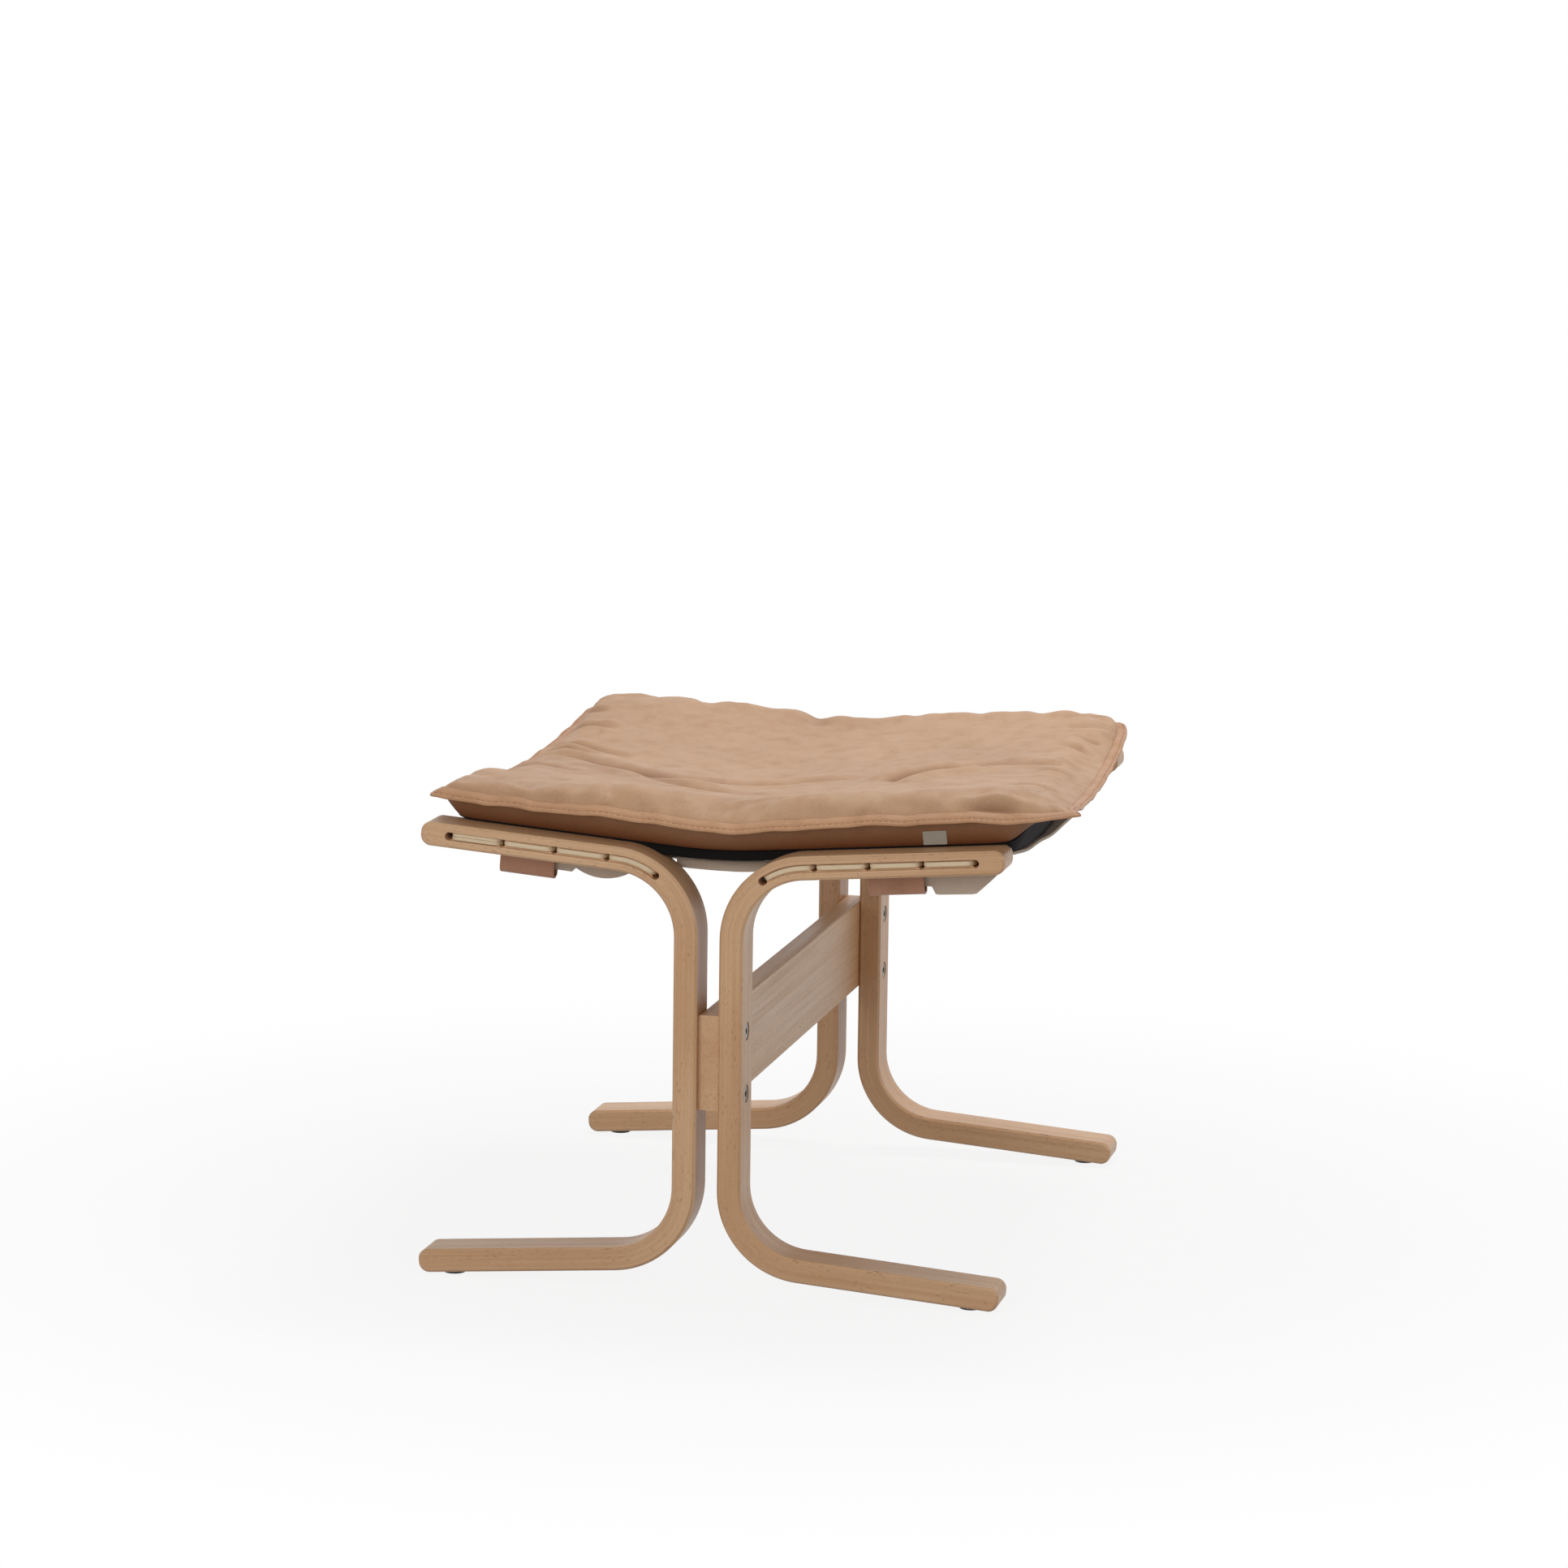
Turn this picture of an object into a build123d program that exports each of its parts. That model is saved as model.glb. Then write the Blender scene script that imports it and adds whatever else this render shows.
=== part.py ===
"""Footstool with bent beech side frames, a laced canvas sling and a loose leather cushion.

X runs across the arms, Y from the near side frame to the far one, Z up from the floor.
Every piece is drawn about the middle of the wooden frame. One move at the end brings the
origin to the floor under the middle of the whole stool, because the cushion lies askew.
Lengths are in millimetres.
"""

import os
from math import acos, asin, atan2, cos, hypot, pi, radians, sin, sqrt, tan

from build123d import *

# Side frames of bent laminated beech
frame_depth = 600.0  # outer face of the near frame to outer face of the far one
lamination_width = 40.0
lamination_thickness = 20.5
stretcher_thickness = 19.0  # also the clear space between the two stems of a frame
bend_radius = 55.0  # inside the bends
arm_reach = 252.0  # middle of the stool to the arm tip
foot_reach = 253.5
arm_height = 396.0  # floor to the top of the arm at its tip
arm_slope_degrees = 4.6  # the arms rise outwards
foot_slope_degrees = 4.5  # the feet fall outwards
foot_clearance = 1.7  # floor to the foot's underside at its tip
tip_radius = 8.8
edge_chamfer = 2.1

# Stretcher board
stretcher_height = 82.0
stretcher_underside = 158.5
stretcher_setback = 8.0  # from the frame's outer face to the end of the board
stretcher_edge_radius = 2.0

# Connector bolts and sleeve nuts
bolt_spacing = 54.0
bolt_thread_diameter = 6.0
bolt_head_diameter = 14.0
bolt_head_height = 4.4
bolt_length = 43.0
sleeve_diameter = 8.0
sleeve_length = 32.0
sleeve_end_wall = 2.0
hex_key_size = 5.0
hex_key_depth = 3.0
counterbore_diameter = 15.4
counterbore_depth = 5.0
fastener_clearance = 0.2  # on the radius

# Lacing holes and groove in the arms
lacing_hole_count = 5
lacing_hole_diameter = 7.0
lacing_hole_spacing = 46.0
first_hole_inset = 25.0  # from the arm tip
groove_width = 7.0
groove_depth = 3.6

# Lacing cord
cord_diameter = 3.2
cord_sides = 4
cord_clearance = 0.3
cord_turn_radius = 2.4
cord_mouth_radius = 6.0
strand_spread = 1.72  # half the distance between the two strands in one hole
knot_radius = 2.2
knot_sides = 6
loop_bend_share = 0.97  # of the largest radius that fits in a loop round the rod
groove_bend_share = 0.9  # of the largest radius that fits where the groove follows the bend
strand_merge_share = 0.33  # of the spread that is left where the strands go round the rod
least_turn_degrees = 2.0

# Rods in the canvas hems
hem_rod_diameter = 6.0
hem_rod_gap = 10.0  # arm's inner face to the rod's middle
hem_rod_inner_reach = 38.0
hem_rod_outer_reach = 249.0

# Canvas sling
canvas_thickness = 1.6
canvas_sag = 23.0
canvas_reach = 246.0  # middle of the stool to the selvedge
canvas_edge_drop = 0.7  # rod's middle to the sheet's edge
sleeve_clearance = 0.3
sleeve_sides = 6
flap_thickness = 2.4
flap_length = 29.0
flap_inner_reach = 62.0
flap_corner_radius = 14.0
fold_height = 8.0  # of the folded edge between the two flaps of a side
notch_width = 14.0
valley_reach = 40.0  # half the width over which the two slopes round into each other

# Cushion
cushion_setback = 17.0  # frame's outer face to the cushion's rim
cushion_left_reach = 244.0
cushion_right_reach = 270.0  # at mid depth
cushion_skew = 14.0  # the right edge stands out by this at the near end, and in at the far end
seam_rise = 21.5  # arm top to the seam
rim_height = 2.4
crown_rise = 17.5  # seam to the crown of the edge roll
crown_inset = 30.0
roll_width = 62.0
roll_drop = 2.5
dish_depth = 22.0  # how far the middle hangs below the edges
middle_crown = 18.0  # top of the middle above the hanging seam
boxing_inset = 10.0  # the boxing draws in below the seam
end_roll = 34.0  # width over which the left and right ends round down
end_corner = 12.0
end_thickness_share = 0.13
end_station_shares = (1.0, 0.6, 0.25, 0.07, 0.0)
ledge_run = 2.0  # rod's middle to where the base leaves the arm, towards the arm
hollow_run = 18.0  # rod's middle to where the base meets the sling
rest_clearance = 0.4
leather_thickness = 1.4
filling_clearance = 0.3
rim_inset_share = 2.2  # the wall is cut this many times deeper at the sharp rim
base_cloth_margin = 13.0
base_cloth_top = 8.0  # seam down to the plane that parts the leather from the base cloth
flange_width = 8.0
flange_thickness = 3.0

# Straps with press studs
strap_place = 159.0
strap_thickness = 2.0
strap_flap_width = 48.0
strap_neck_width = 36.0
strap_neck_place = 157.5
strap_neck_height = 6.0  # rod's middle down to where the flap widens
strap_gap = 1.5  # arm's inner face to the strap
strap_drop = 33.0  # rod's middle to the lowest point of the strap
strap_loop = 12.0  # between the middles of the strap's two legs
strap_tail = 17.0
stud_drop = 21.2  # rod's middle to the stud
stud_cap_diameter = 9.0
stud_cap_height = 1.0
stud_shank_diameter = 3.0
stud_clearance = 0.2
strap_bend_share = 0.97  # of half the loop, so that the bend keeps a short flat

# Side tab
tab_place = 190.0
tab_width = 21.0
tab_length = 15.0
tab_thickness = 0.8
tab_gap = 0.3

# Floor glides
glide_diameter = 20.0
glide_inset = 27.0
glide_chamfer = 0.8
glide_blank_height = 7.0
nail_diameter = 2.4
nail_length = 12.0
nail_clearance = 0.1

overrun = 5.0  # how far a cutting shape runs past what it cuts

# Derived places
arm_slope = radians(arm_slope_degrees)
foot_slope = radians(foot_slope_degrees)
frame_front = frame_depth / 2
arm_inside = frame_front - lamination_width
leg_middle = frame_front - lamination_width / 2
stem_middle = (stretcher_thickness + lamination_thickness) / 2
stem_outside = stretcher_thickness / 2 + lamination_thickness
rod_middle = arm_inside - hem_rod_gap
bolt_middle_height = stretcher_underside + stretcher_height / 2
bolt_heights = (bolt_middle_height - bolt_spacing / 2, bolt_middle_height + bolt_spacing / 2)
cushion_half_depth = frame_front - cushion_setback


def arm_top(x):
    """Height of the arms' top at a distance x from the middle, as if the arms met there."""
    return arm_height - (arm_reach - abs(x)) * tan(arm_slope)


def arm_axis(x):
    """Height of the arms' centreline, on which the lacing holes and the hem rods lie."""
    return arm_top(x) - lamination_thickness / 2 / cos(arm_slope)


def foot_axis(x):
    """Height of the feet's centreline."""
    tip = foot_clearance + lamination_thickness / 2 / cos(foot_slope)
    return tip + (foot_reach - x) * tan(foot_slope)


def seat_height(x):
    """Arm top, with the valley between the two slopes rounded."""
    if abs(x) >= valley_reach:
        return arm_top(x)
    rise = valley_reach * tan(arm_slope) / 2
    return arm_top(valley_reach) - rise * (1 - (x / valley_reach) ** 2)


def centreline():
    """Centreline of a right-hand lamination from arm tip to foot tip, at Y zero."""
    return FilletPolyline(
        (arm_reach, 0, arm_axis(arm_reach)),
        (stem_middle, 0, arm_axis(stem_middle)),
        (stem_middle, 0, foot_axis(stem_middle)),
        (foot_reach, 0, foot_axis(foot_reach)),
        radius=bend_radius + lamination_thickness / 2,
    )


def lacing_places():
    """Middle and running direction of each lacing hole, from the arm tip inwards."""
    line = centreline()
    places = []
    for index in range(lacing_hole_count):
        run = first_hole_inset + index * lacing_hole_spacing
        place = line.position_at(run, position_mode=PositionMode.LENGTH)
        places.append((place, line.tangent_at(run, position_mode=PositionMode.LENGTH)))
    return places


def swept_strip(line, across, thick):
    """A rectangle swept along a line in the XZ plane, with its first side along Y."""
    start = Plane(origin=line.position_at(0), x_dir=(0, 1, 0), z_dir=line.tangent_at(0))
    return sweep(start * Rectangle(across, thick), path=line)


def y_cylinder(radius, start, end, x=0.0, z=0.0):
    """A cylinder along Y between two Y values."""
    plane = Plane(origin=(x, min(start, end), z), x_dir=(1, 0, 0), z_dir=(0, 1, 0))
    return extrude(plane * Circle(radius), abs(end - start))


def x_cylinder(radius, start, end, y=0.0, z=0.0):
    """A cylinder along X between two X values."""
    plane = Plane(origin=(min(start, end), y, z), x_dir=(0, 1, 0), z_dir=(1, 0, 0))
    return extrude(plane * Circle(radius), abs(end - start))


def make_leg_blank():
    """The near right lamination before it is bored and grooved."""
    line = centreline()
    leg = swept_strip(line, lamination_width, lamination_thickness)
    tips = (line.position_at(0), line.position_at(1))
    corners = []
    for edge in leg.edges().filter_by(Axis.Y):
        if min((edge.center() - tip).length for tip in tips) < lamination_thickness:
            corners.append(edge)
    leg = fillet(corners, tip_radius)
    outlines = leg.faces().filter_by(Axis.Y).edges()
    leg = chamfer(outlines, edge_chamfer)
    return Pos(0, -leg_middle, 0) * leg


def make_leg(blank):
    """The near right lamination with its lacing, bolt and nail holes."""
    leg = blank
    places = lacing_places()
    line = centreline()
    first, last = places[0][0], places[-1][0]
    groove_line = Wire(line.edges()).trim(first, last)
    groove = Pos(0, -frame_front, 0) * swept_strip(groove_line, 2 * groove_depth, groove_width)
    leg -= groove
    radius = lacing_hole_diameter / 2
    for place, _ in places:
        leg -= y_cylinder(radius, -frame_front - overrun, -arm_inside + overrun, place.X, place.Z)
    for height in bolt_heights:
        bore = sleeve_diameter / 2 + fastener_clearance
        leg -= x_cylinder(bore, 0, stem_outside + overrun, -leg_middle, height)
        seat = stem_outside - counterbore_depth
        leg -= x_cylinder(counterbore_diameter / 2, seat, stem_outside + overrun, -leg_middle, height)
    nail_place = foot_reach - glide_inset
    nail_hole = Cylinder(nail_diameter / 2 + nail_clearance, nail_length + glide_blank_height)
    return leg - Pos(nail_place, -leg_middle, (nail_length + glide_blank_height) / 2) * nail_hole


def make_glide(blank):
    """The near right glide: a disc that fills the wedge between foot and floor, and its nail."""
    disc = Pos(0, 0, glide_blank_height / 2) * Cylinder(glide_diameter / 2, glide_blank_height)
    disc = chamfer(disc.edges().sort_by(Axis.Z)[0], glide_chamfer)
    place = Pos(foot_reach - glide_inset, -leg_middle, 0)
    glide = place * disc - blank
    nail_top = nail_length + glide_blank_height / 2
    nail = Cylinder(nail_diameter / 2, nail_top - glide_chamfer)
    return glide + place * Pos(0, 0, (nail_top + glide_chamfer) / 2) * nail


def make_stretcher():
    """The board between the stems, bored for the four connectors."""
    length = 2 * (frame_front - stretcher_setback)
    board = Box(stretcher_thickness, length, stretcher_height)
    long_edges = board.edges().filter_by(Axis.Y)
    board = fillet(long_edges, stretcher_edge_radius)
    board = Pos(0, 0, stretcher_underside + stretcher_height / 2) * board
    for height in bolt_heights:
        for y in (-leg_middle, leg_middle):
            bore = sleeve_diameter / 2 + fastener_clearance
            board -= x_cylinder(bore, -stretcher_thickness, stretcher_thickness, y, height)
    return board


def make_head():
    """A round head with a hexagon socket, standing on the YZ plane and rising along X."""
    head = x_cylinder(bolt_head_diameter / 2, 0, bolt_head_height)
    floor = bolt_head_height - hex_key_depth
    socket_plane = Plane(origin=(floor, 0, 0), x_dir=(0, 1, 0), z_dir=(1, 0, 0))
    socket = RegularPolygon(hex_key_size / 2, 6, major_radius=False)
    return head - extrude(socket_plane * socket, hex_key_depth + overrun)


def make_bolts_and_nuts():
    """The four bolts, which enter from the right, and the four sleeve nuts on the left."""
    seat = stem_outside - counterbore_depth
    head = make_head()
    bolt = Pos(seat, 0, 0) * head + x_cylinder(bolt_thread_diameter / 2, seat - bolt_length, seat)
    nut = mirror(Pos(seat, 0, 0) * head, about=Plane.YZ)
    nut += x_cylinder(sleeve_diameter / 2, -seat, sleeve_length - seat)
    bore = bolt_thread_diameter / 2 + fastener_clearance / 2
    nut -= x_cylinder(bore, sleeve_end_wall - seat, sleeve_length - seat + overrun)
    bolts, nuts = [], []
    for y in (-leg_middle, leg_middle):
        for height in bolt_heights:
            bolts.append(Pos(0, y, height) * bolt)
            nuts.append(Pos(0, y, height) * nut)
    return Compound(children=bolts), Compound(children=nuts)


def rod_loop(place):
    """Corners of the cord's way round the rod, as seen from a hole's inner mouth.

    Gives the mouth, the upper and lower corner and the point behind the rod, all as (y, z).
    """
    reach = (hem_rod_diameter + cord_diameter) / 2 + cord_clearance
    mouth_y = -arm_inside
    rod_z = arm_axis(place.X)
    along = hypot(-rod_middle - mouth_y, rod_z - place.Z)
    heading = atan2(rod_z - place.Z, -rod_middle - mouth_y)
    half = (along + reach) * tan(asin(reach / along))
    points = [(mouth_y, place.Z)]
    for side in (half, -half):
        points.append(
            (
                mouth_y + (along + reach) * cos(heading) - side * sin(heading),
                place.Z + (along + reach) * sin(heading) + side * cos(heading),
            )
        )
    points.append(
        (mouth_y + (along + reach) * cos(heading), place.Z + (along + reach) * sin(heading))
    )
    turn = pi / 2 + asin(reach / along)
    return points, loop_bend_share * half / tan(turn / 2)


def lacing_route():
    """Corners and corner radii of the near right cord, from its outer knot to its inner one."""
    places = lacing_places()
    groove_y = -frame_front + groove_depth - cord_diameter / 2 - cord_clearance / 3
    last = lacing_hole_count - 1
    corners, radii = [], []

    def add(point, radius=None):
        """Adds a corner, with its radius unless it is an end."""
        corners.append(point)
        if radius is not None:
            radii.append(radius)

    for index, (place, way) in enumerate(places):
        loop, loop_radius = rod_loop(place)
        mouth, upper, lower, behind = loop
        spread = 0 if index in (0, last) else strand_spread
        before = place - way * spread
        after = place + way * spread
        if index == 0:
            add((place.X, *behind))
            add((place.X, *upper), loop_radius)
            add((place.X, *mouth), cord_mouth_radius)
            add((place.X, groove_y, place.Z), cord_turn_radius)
            continue
        previous, previous_way = places[index - 1]
        turn = acos(min(1, max(-1, way.dot(previous_way))))
        if turn > radians(least_turn_degrees):
            reach = (place - previous).length / 2 / cos(turn / 2)
            middle = previous + previous_way * reach
            room = reach - strand_spread - cord_turn_radius
            add((middle.X, groove_y, middle.Z), groove_bend_share * room / tan(turn / 2))
        add((before.X, groove_y, before.Z), cord_turn_radius)
        add((before.X, mouth[0], mouth[1] + before.Z - place.Z), cord_mouth_radius)
        if index == last:
            add((place.X, *upper), loop_radius)
            add((place.X, *behind))
            continue
        near = place + (before - place) * strand_merge_share
        far = place + (after - place) * strand_merge_share
        add((near.X, *upper), loop_radius)
        add((far.X, *lower), loop_radius)
        add((after.X, mouth[0], mouth[1] + after.Z - place.Z), cord_mouth_radius)
        add((after.X, groove_y, after.Z), cord_turn_radius)
    return corners, radii


def make_lacing():
    """The near right cord, swept along its route, with a knot at each end."""
    corners, radii = lacing_route()
    line = FilletPolyline(*corners, radius=radii)
    start = Plane(origin=line.position_at(0), x_dir=(1, 0, 0), z_dir=line.tangent_at(0))
    section = RegularPolygon(cord_diameter / 2, cord_sides, rotation=180 / cord_sides)
    cord = sweep(start * section, path=line, transition=Transition.RIGHT)
    expected = section.area * line.length
    print(f"cord {line.length:.0f} long: volume {cord.volume:.0f}, section x length {expected:.0f}")
    for index, point in ((0, line.position_at(0)), (-1, line.position_at(1))):
        hole = lacing_places()[index][0]
        rod = Vector(hole.X, -rod_middle, arm_axis(hole.X))
        outward = (point - rod).normalized()
        seat = Plane(origin=rod + outward * (hem_rod_diameter / 2 + cord_clearance), z_dir=outward)
        cord += extrude(seat * RegularPolygon(knot_radius, knot_sides), 2 * knot_radius)
    return cord


def arm_run(start, end):
    """A straight line along the arms' slope at the rod's place, near and right."""
    return Line((start, -rod_middle, arm_axis(start)), (end, -rod_middle, arm_axis(end)))


def make_hem_rod():
    """The near right rod that the cord holds."""
    line = arm_run(hem_rod_inner_reach, hem_rod_outer_reach)
    start = Plane(origin=line.position_at(0), z_dir=line.tangent_at(0))
    return sweep(start * Circle(hem_rod_diameter / 2), path=line)


def flat_face(*edges):
    """A flat face inside a closed row of edges: two points make a line, three an arc."""
    lines = []
    for edge in edges:
        lines.append(ThreePointArc(*edge) if len(edge) == 3 else Line(*edge))
    return make_face(lines)


def along_seat(section, left, right, slant=0.0):
    """Lofts a section along the two slopes and the rounded valley between them."""
    left_wing = loft([section(left), section(-valley_reach)], ruled=True)
    right_wing = loft([section(valley_reach), section(right, slant)], ruled=True)
    valley = loft([section(x) for x in (-valley_reach, 0, valley_reach)])
    return left_wing + valley + right_wing


def canvas_section(x, slant=0.0):
    """Section of the sling's sheet: it hangs between the near and the far rods."""
    drop = arm_top(arm_reach) - arm_axis(arm_reach) + canvas_edge_drop
    middle = seat_height(x) - drop
    edge = rod_middle - (hem_rod_diameter + canvas_thickness) / 2 - sleeve_clearance
    high = middle + canvas_thickness / 2
    low = middle - canvas_thickness / 2
    return flat_face(
        ((x, -edge, high), (x, 0, high - canvas_sag), (x, edge, high)),
        ((x, edge, high), (x, edge, low)),
        ((x, edge, low), (x, 0, low - canvas_sag), (x, -edge, low)),
        ((x, -edge, low), (x, -edge, high)),
    )


def make_hem():
    """The near right hem: a sleeve round the rod with a flap that hangs below it."""
    line = arm_run(flap_inner_reach, canvas_reach)
    start = Plane(origin=line.position_at(0), z_dir=line.tangent_at(0))
    inner = hem_rod_diameter / 2 + sleeve_clearance
    high_in, high_out = line.position_at(0), line.position_at(1)
    low_in, low_out = high_in - Vector(0, 0, flap_length), high_out - Vector(0, 0, flap_length)
    outline = make_face(Polyline(high_in, high_out, low_out, low_in, close=True))
    flap = extrude(outline, flap_thickness / 2, dir=(0, 1, 0), both=True)
    lower = flap.edges().filter_by(Axis.Y).sort_by(Axis.Z)[:2]
    flap = fillet(lower, flap_corner_radius)
    sleeve = sweep(start * RegularPolygon(inner + canvas_thickness, sleeve_sides, False), path=line)
    cut = arm_run(flap_inner_reach - overrun, canvas_reach + overrun)
    cut_start = Plane(origin=cut.position_at(0), z_dir=cut.tangent_at(0))
    bore = sweep(cut_start * RegularPolygon(inner, sleeve_sides, False), path=cut)
    return sleeve + flap - bore


def fold_section(x, slant=0.0):
    """Section of the folded near edge of the sheet, between the two hem flaps."""
    middle = seat_height(x) - (arm_top(arm_reach) - arm_axis(arm_reach) + canvas_edge_drop)
    outside = (hem_rod_diameter + canvas_thickness) / 2 + sleeve_clearance - rod_middle
    inside = outside + flap_thickness
    low = middle - fold_height
    return flat_face(
        ((x, outside, middle), (x, inside, middle)),
        ((x, inside, middle), (x, inside, low)),
        ((x, inside, low), (x, outside, low)),
        ((x, outside, low), (x, outside, middle)),
    )


def make_notch(place):
    """The cut-out that bares the rod for the cord and its knots at one hole."""
    reach = hem_rod_diameter / 2 + 2 * knot_radius + 2 * cord_clearance
    notch = Box(notch_width, 2 * reach, 2 * reach)
    return Pos(place.X, -rod_middle, arm_axis(place.X)) * notch


def four_ways(shape):
    """A near right shape and its three mirror images, by place."""
    return {
        "near_right": shape,
        "near_left": mirror(shape, about=Plane.YZ),
        "far_right": mirror(shape, about=Plane.XZ),
        "far_left": Rot(0, 0, 180) * shape,
    }


def make_canvas():
    """The sling: its sheet, and at each arm a notched hem."""
    sling = along_seat(canvas_section, -canvas_reach, canvas_reach)
    fold = along_seat(fold_section, -flap_inner_reach, flap_inner_reach)
    sling += [fold, mirror(fold, about=Plane.XZ)]
    sling += list(four_ways(make_hem()).values())
    for place, _ in lacing_places():
        for notch in four_ways(make_notch(place)).values():
            sling -= notch
    return sling


def cushion_section(x, slant=0.0, inset=0.0, share=1.0, corner=0.0):
    """Section of the cushion: rolled edges, a dished top and a base that follows the sling.

    slant leans the section for the skewed right edge, inset draws every side in, share thins
    it about the hanging seam and corner shortens it for the rounded corners.
    """
    half = cushion_half_depth
    base = seat_height(x)
    seam = base + seam_rise
    shorten = (half - corner) / half

    def at(y, lift):
        """A section point: lift is its height over the seam's ends at full thickness."""
        hang = dish_depth * (1 - (y / half) ** 2)
        z = seam - hang * (1 - share) + lift * share
        return (x - slant * y, y * shorten, z - slant * y * tan(arm_slope))

    rest = rest_clearance - seam_rise
    sling_drop = arm_top(arm_reach) - arm_axis(arm_reach) + canvas_edge_drop - canvas_thickness / 2
    sling_edge = rod_middle - (hem_rod_diameter + canvas_thickness) / 2 - sleeve_clearance
    hollow = rod_middle - hollow_run
    sling_at_hollow = canvas_sag * (1 - (hollow / sling_edge) ** 2)
    rim = half - inset * rim_inset_share
    thin = inset / share
    rim_lift = max(rim_height / 2 - inset, rim_height / 6)
    foot = half - boxing_inset - inset
    points = {
        "rim_top": (rim, rim_lift),
        "crown": (half - crown_inset, crown_rise - thin),
        "roll": (half - roll_width, crown_rise - roll_drop - thin),
        "rim_low": (rim, -rim_lift),
        "foot": (foot, rest + thin),
        "ledge": (rod_middle + ledge_run, rest + thin),
        "hollow": (hollow, rest - sling_drop - sling_at_hollow + thin),
    }
    far = {name: at(y, lift) for name, (y, lift) in points.items()}
    near = {name: at(-y, lift) for name, (y, lift) in points.items()}
    top_middle = at(0, middle_crown - dish_depth - thin)
    base_middle = at(0, rest - sling_drop - canvas_sag + thin)
    return flat_face(
        (near["rim_top"], near["crown"], near["roll"]),
        (near["roll"], top_middle, far["roll"]),
        (far["roll"], far["crown"], far["rim_top"]),
        (far["rim_top"], far["rim_low"]),
        (far["rim_low"], far["foot"]),
        (far["foot"], far["ledge"]),
        (far["ledge"], far["hollow"]),
        (far["hollow"], base_middle, near["hollow"]),
        (near["hollow"], near["ledge"]),
        (near["ledge"], near["foot"]),
        (near["foot"], near["rim_low"]),
        (near["rim_low"], near["rim_top"]),
    )


def make_cushion_body(inset):
    """The whole cushion as one solid, drawn in by inset on every side."""
    slant = cushion_skew / cushion_half_depth
    left = end_roll - cushion_left_reach
    right = cushion_right_reach - end_roll

    def section(x, lean=0.0):
        """A full section at x."""
        return cushion_section(x, lean, inset)

    body = along_seat(section, left, right, slant)
    for side, reach, lean in ((-1, cushion_left_reach, 0.0), (1, cushion_right_reach, slant)):
        stations = []
        for run in end_station_shares:
            thickness = sqrt(1 - (1 - run) ** 2)
            share = end_thickness_share + (1 - end_thickness_share) * thickness
            place = reach - end_roll * run - inset * rim_inset_share * (1 - run)
            corner = end_corner * (1 - run) ** 3
            stations.append(cushion_section(side * place, lean, inset, share, corner))
        body += loft(stations)
    return body


def base_zone_section(x, slant=0.0):
    """Section of the room below the seam that belongs to the base cloth."""
    edge = cushion_half_depth - base_cloth_margin
    seam = seat_height(x) + seam_rise
    high = seam - base_cloth_top
    low = seam - seam_rise - lamination_thickness - canvas_sag - dish_depth

    def at(y, z):
        """A section point, moved with the skew of the right edge."""
        return (x - slant * y, y, z - slant * y * tan(arm_slope))

    return flat_face(
        (at(-edge, high), at(0, high - dish_depth), at(edge, high)),
        (at(edge, high), at(edge, low)),
        (at(edge, low), at(-edge, low)),
        (at(-edge, low), at(-edge, high)),
    )


def flange_section(x, slant=0.0):
    """Section of a sheet at the seam's height, wider than the cushion by the flange."""
    edge = cushion_half_depth + flange_width
    lift = dish_depth * ((edge / cushion_half_depth) ** 2 - 1)
    seam = seat_height(x) + seam_rise
    half = flange_thickness / 2

    def at(y, z):
        """A section point, moved with the skew of the right edge."""
        return (x - slant * y, y, z - slant * y * tan(arm_slope))

    corners = {}
    for name, side in (("top", half), ("low", -half)):
        ends = seam + lift + side
        corners[name] = (at(-edge, ends), at(0, seam - dish_depth + side), at(edge, ends))
    return flat_face(
        corners["top"],
        (corners["top"][2], corners["low"][2]),
        corners["low"],
        (corners["low"][0], corners["top"][0]),
    )


def make_cushion():
    """The cushion's filling, leather cover, base cloth and seam flange."""
    slant = cushion_skew / cushion_half_depth
    outside = make_cushion_body(0.0)
    cavity = make_cushion_body(leather_thickness)
    filling = make_cushion_body(leather_thickness + filling_clearance)
    zone = along_seat(
        base_zone_section,
        base_cloth_margin - cushion_left_reach,
        cushion_right_reach - base_cloth_margin,
        slant,
    )
    shell = outside - cavity
    sheet = along_seat(
        flange_section,
        -cushion_left_reach - flange_width,
        cushion_right_reach + flange_width,
        slant,
    )
    return filling, shell - zone, shell & zone, sheet - outside


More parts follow.
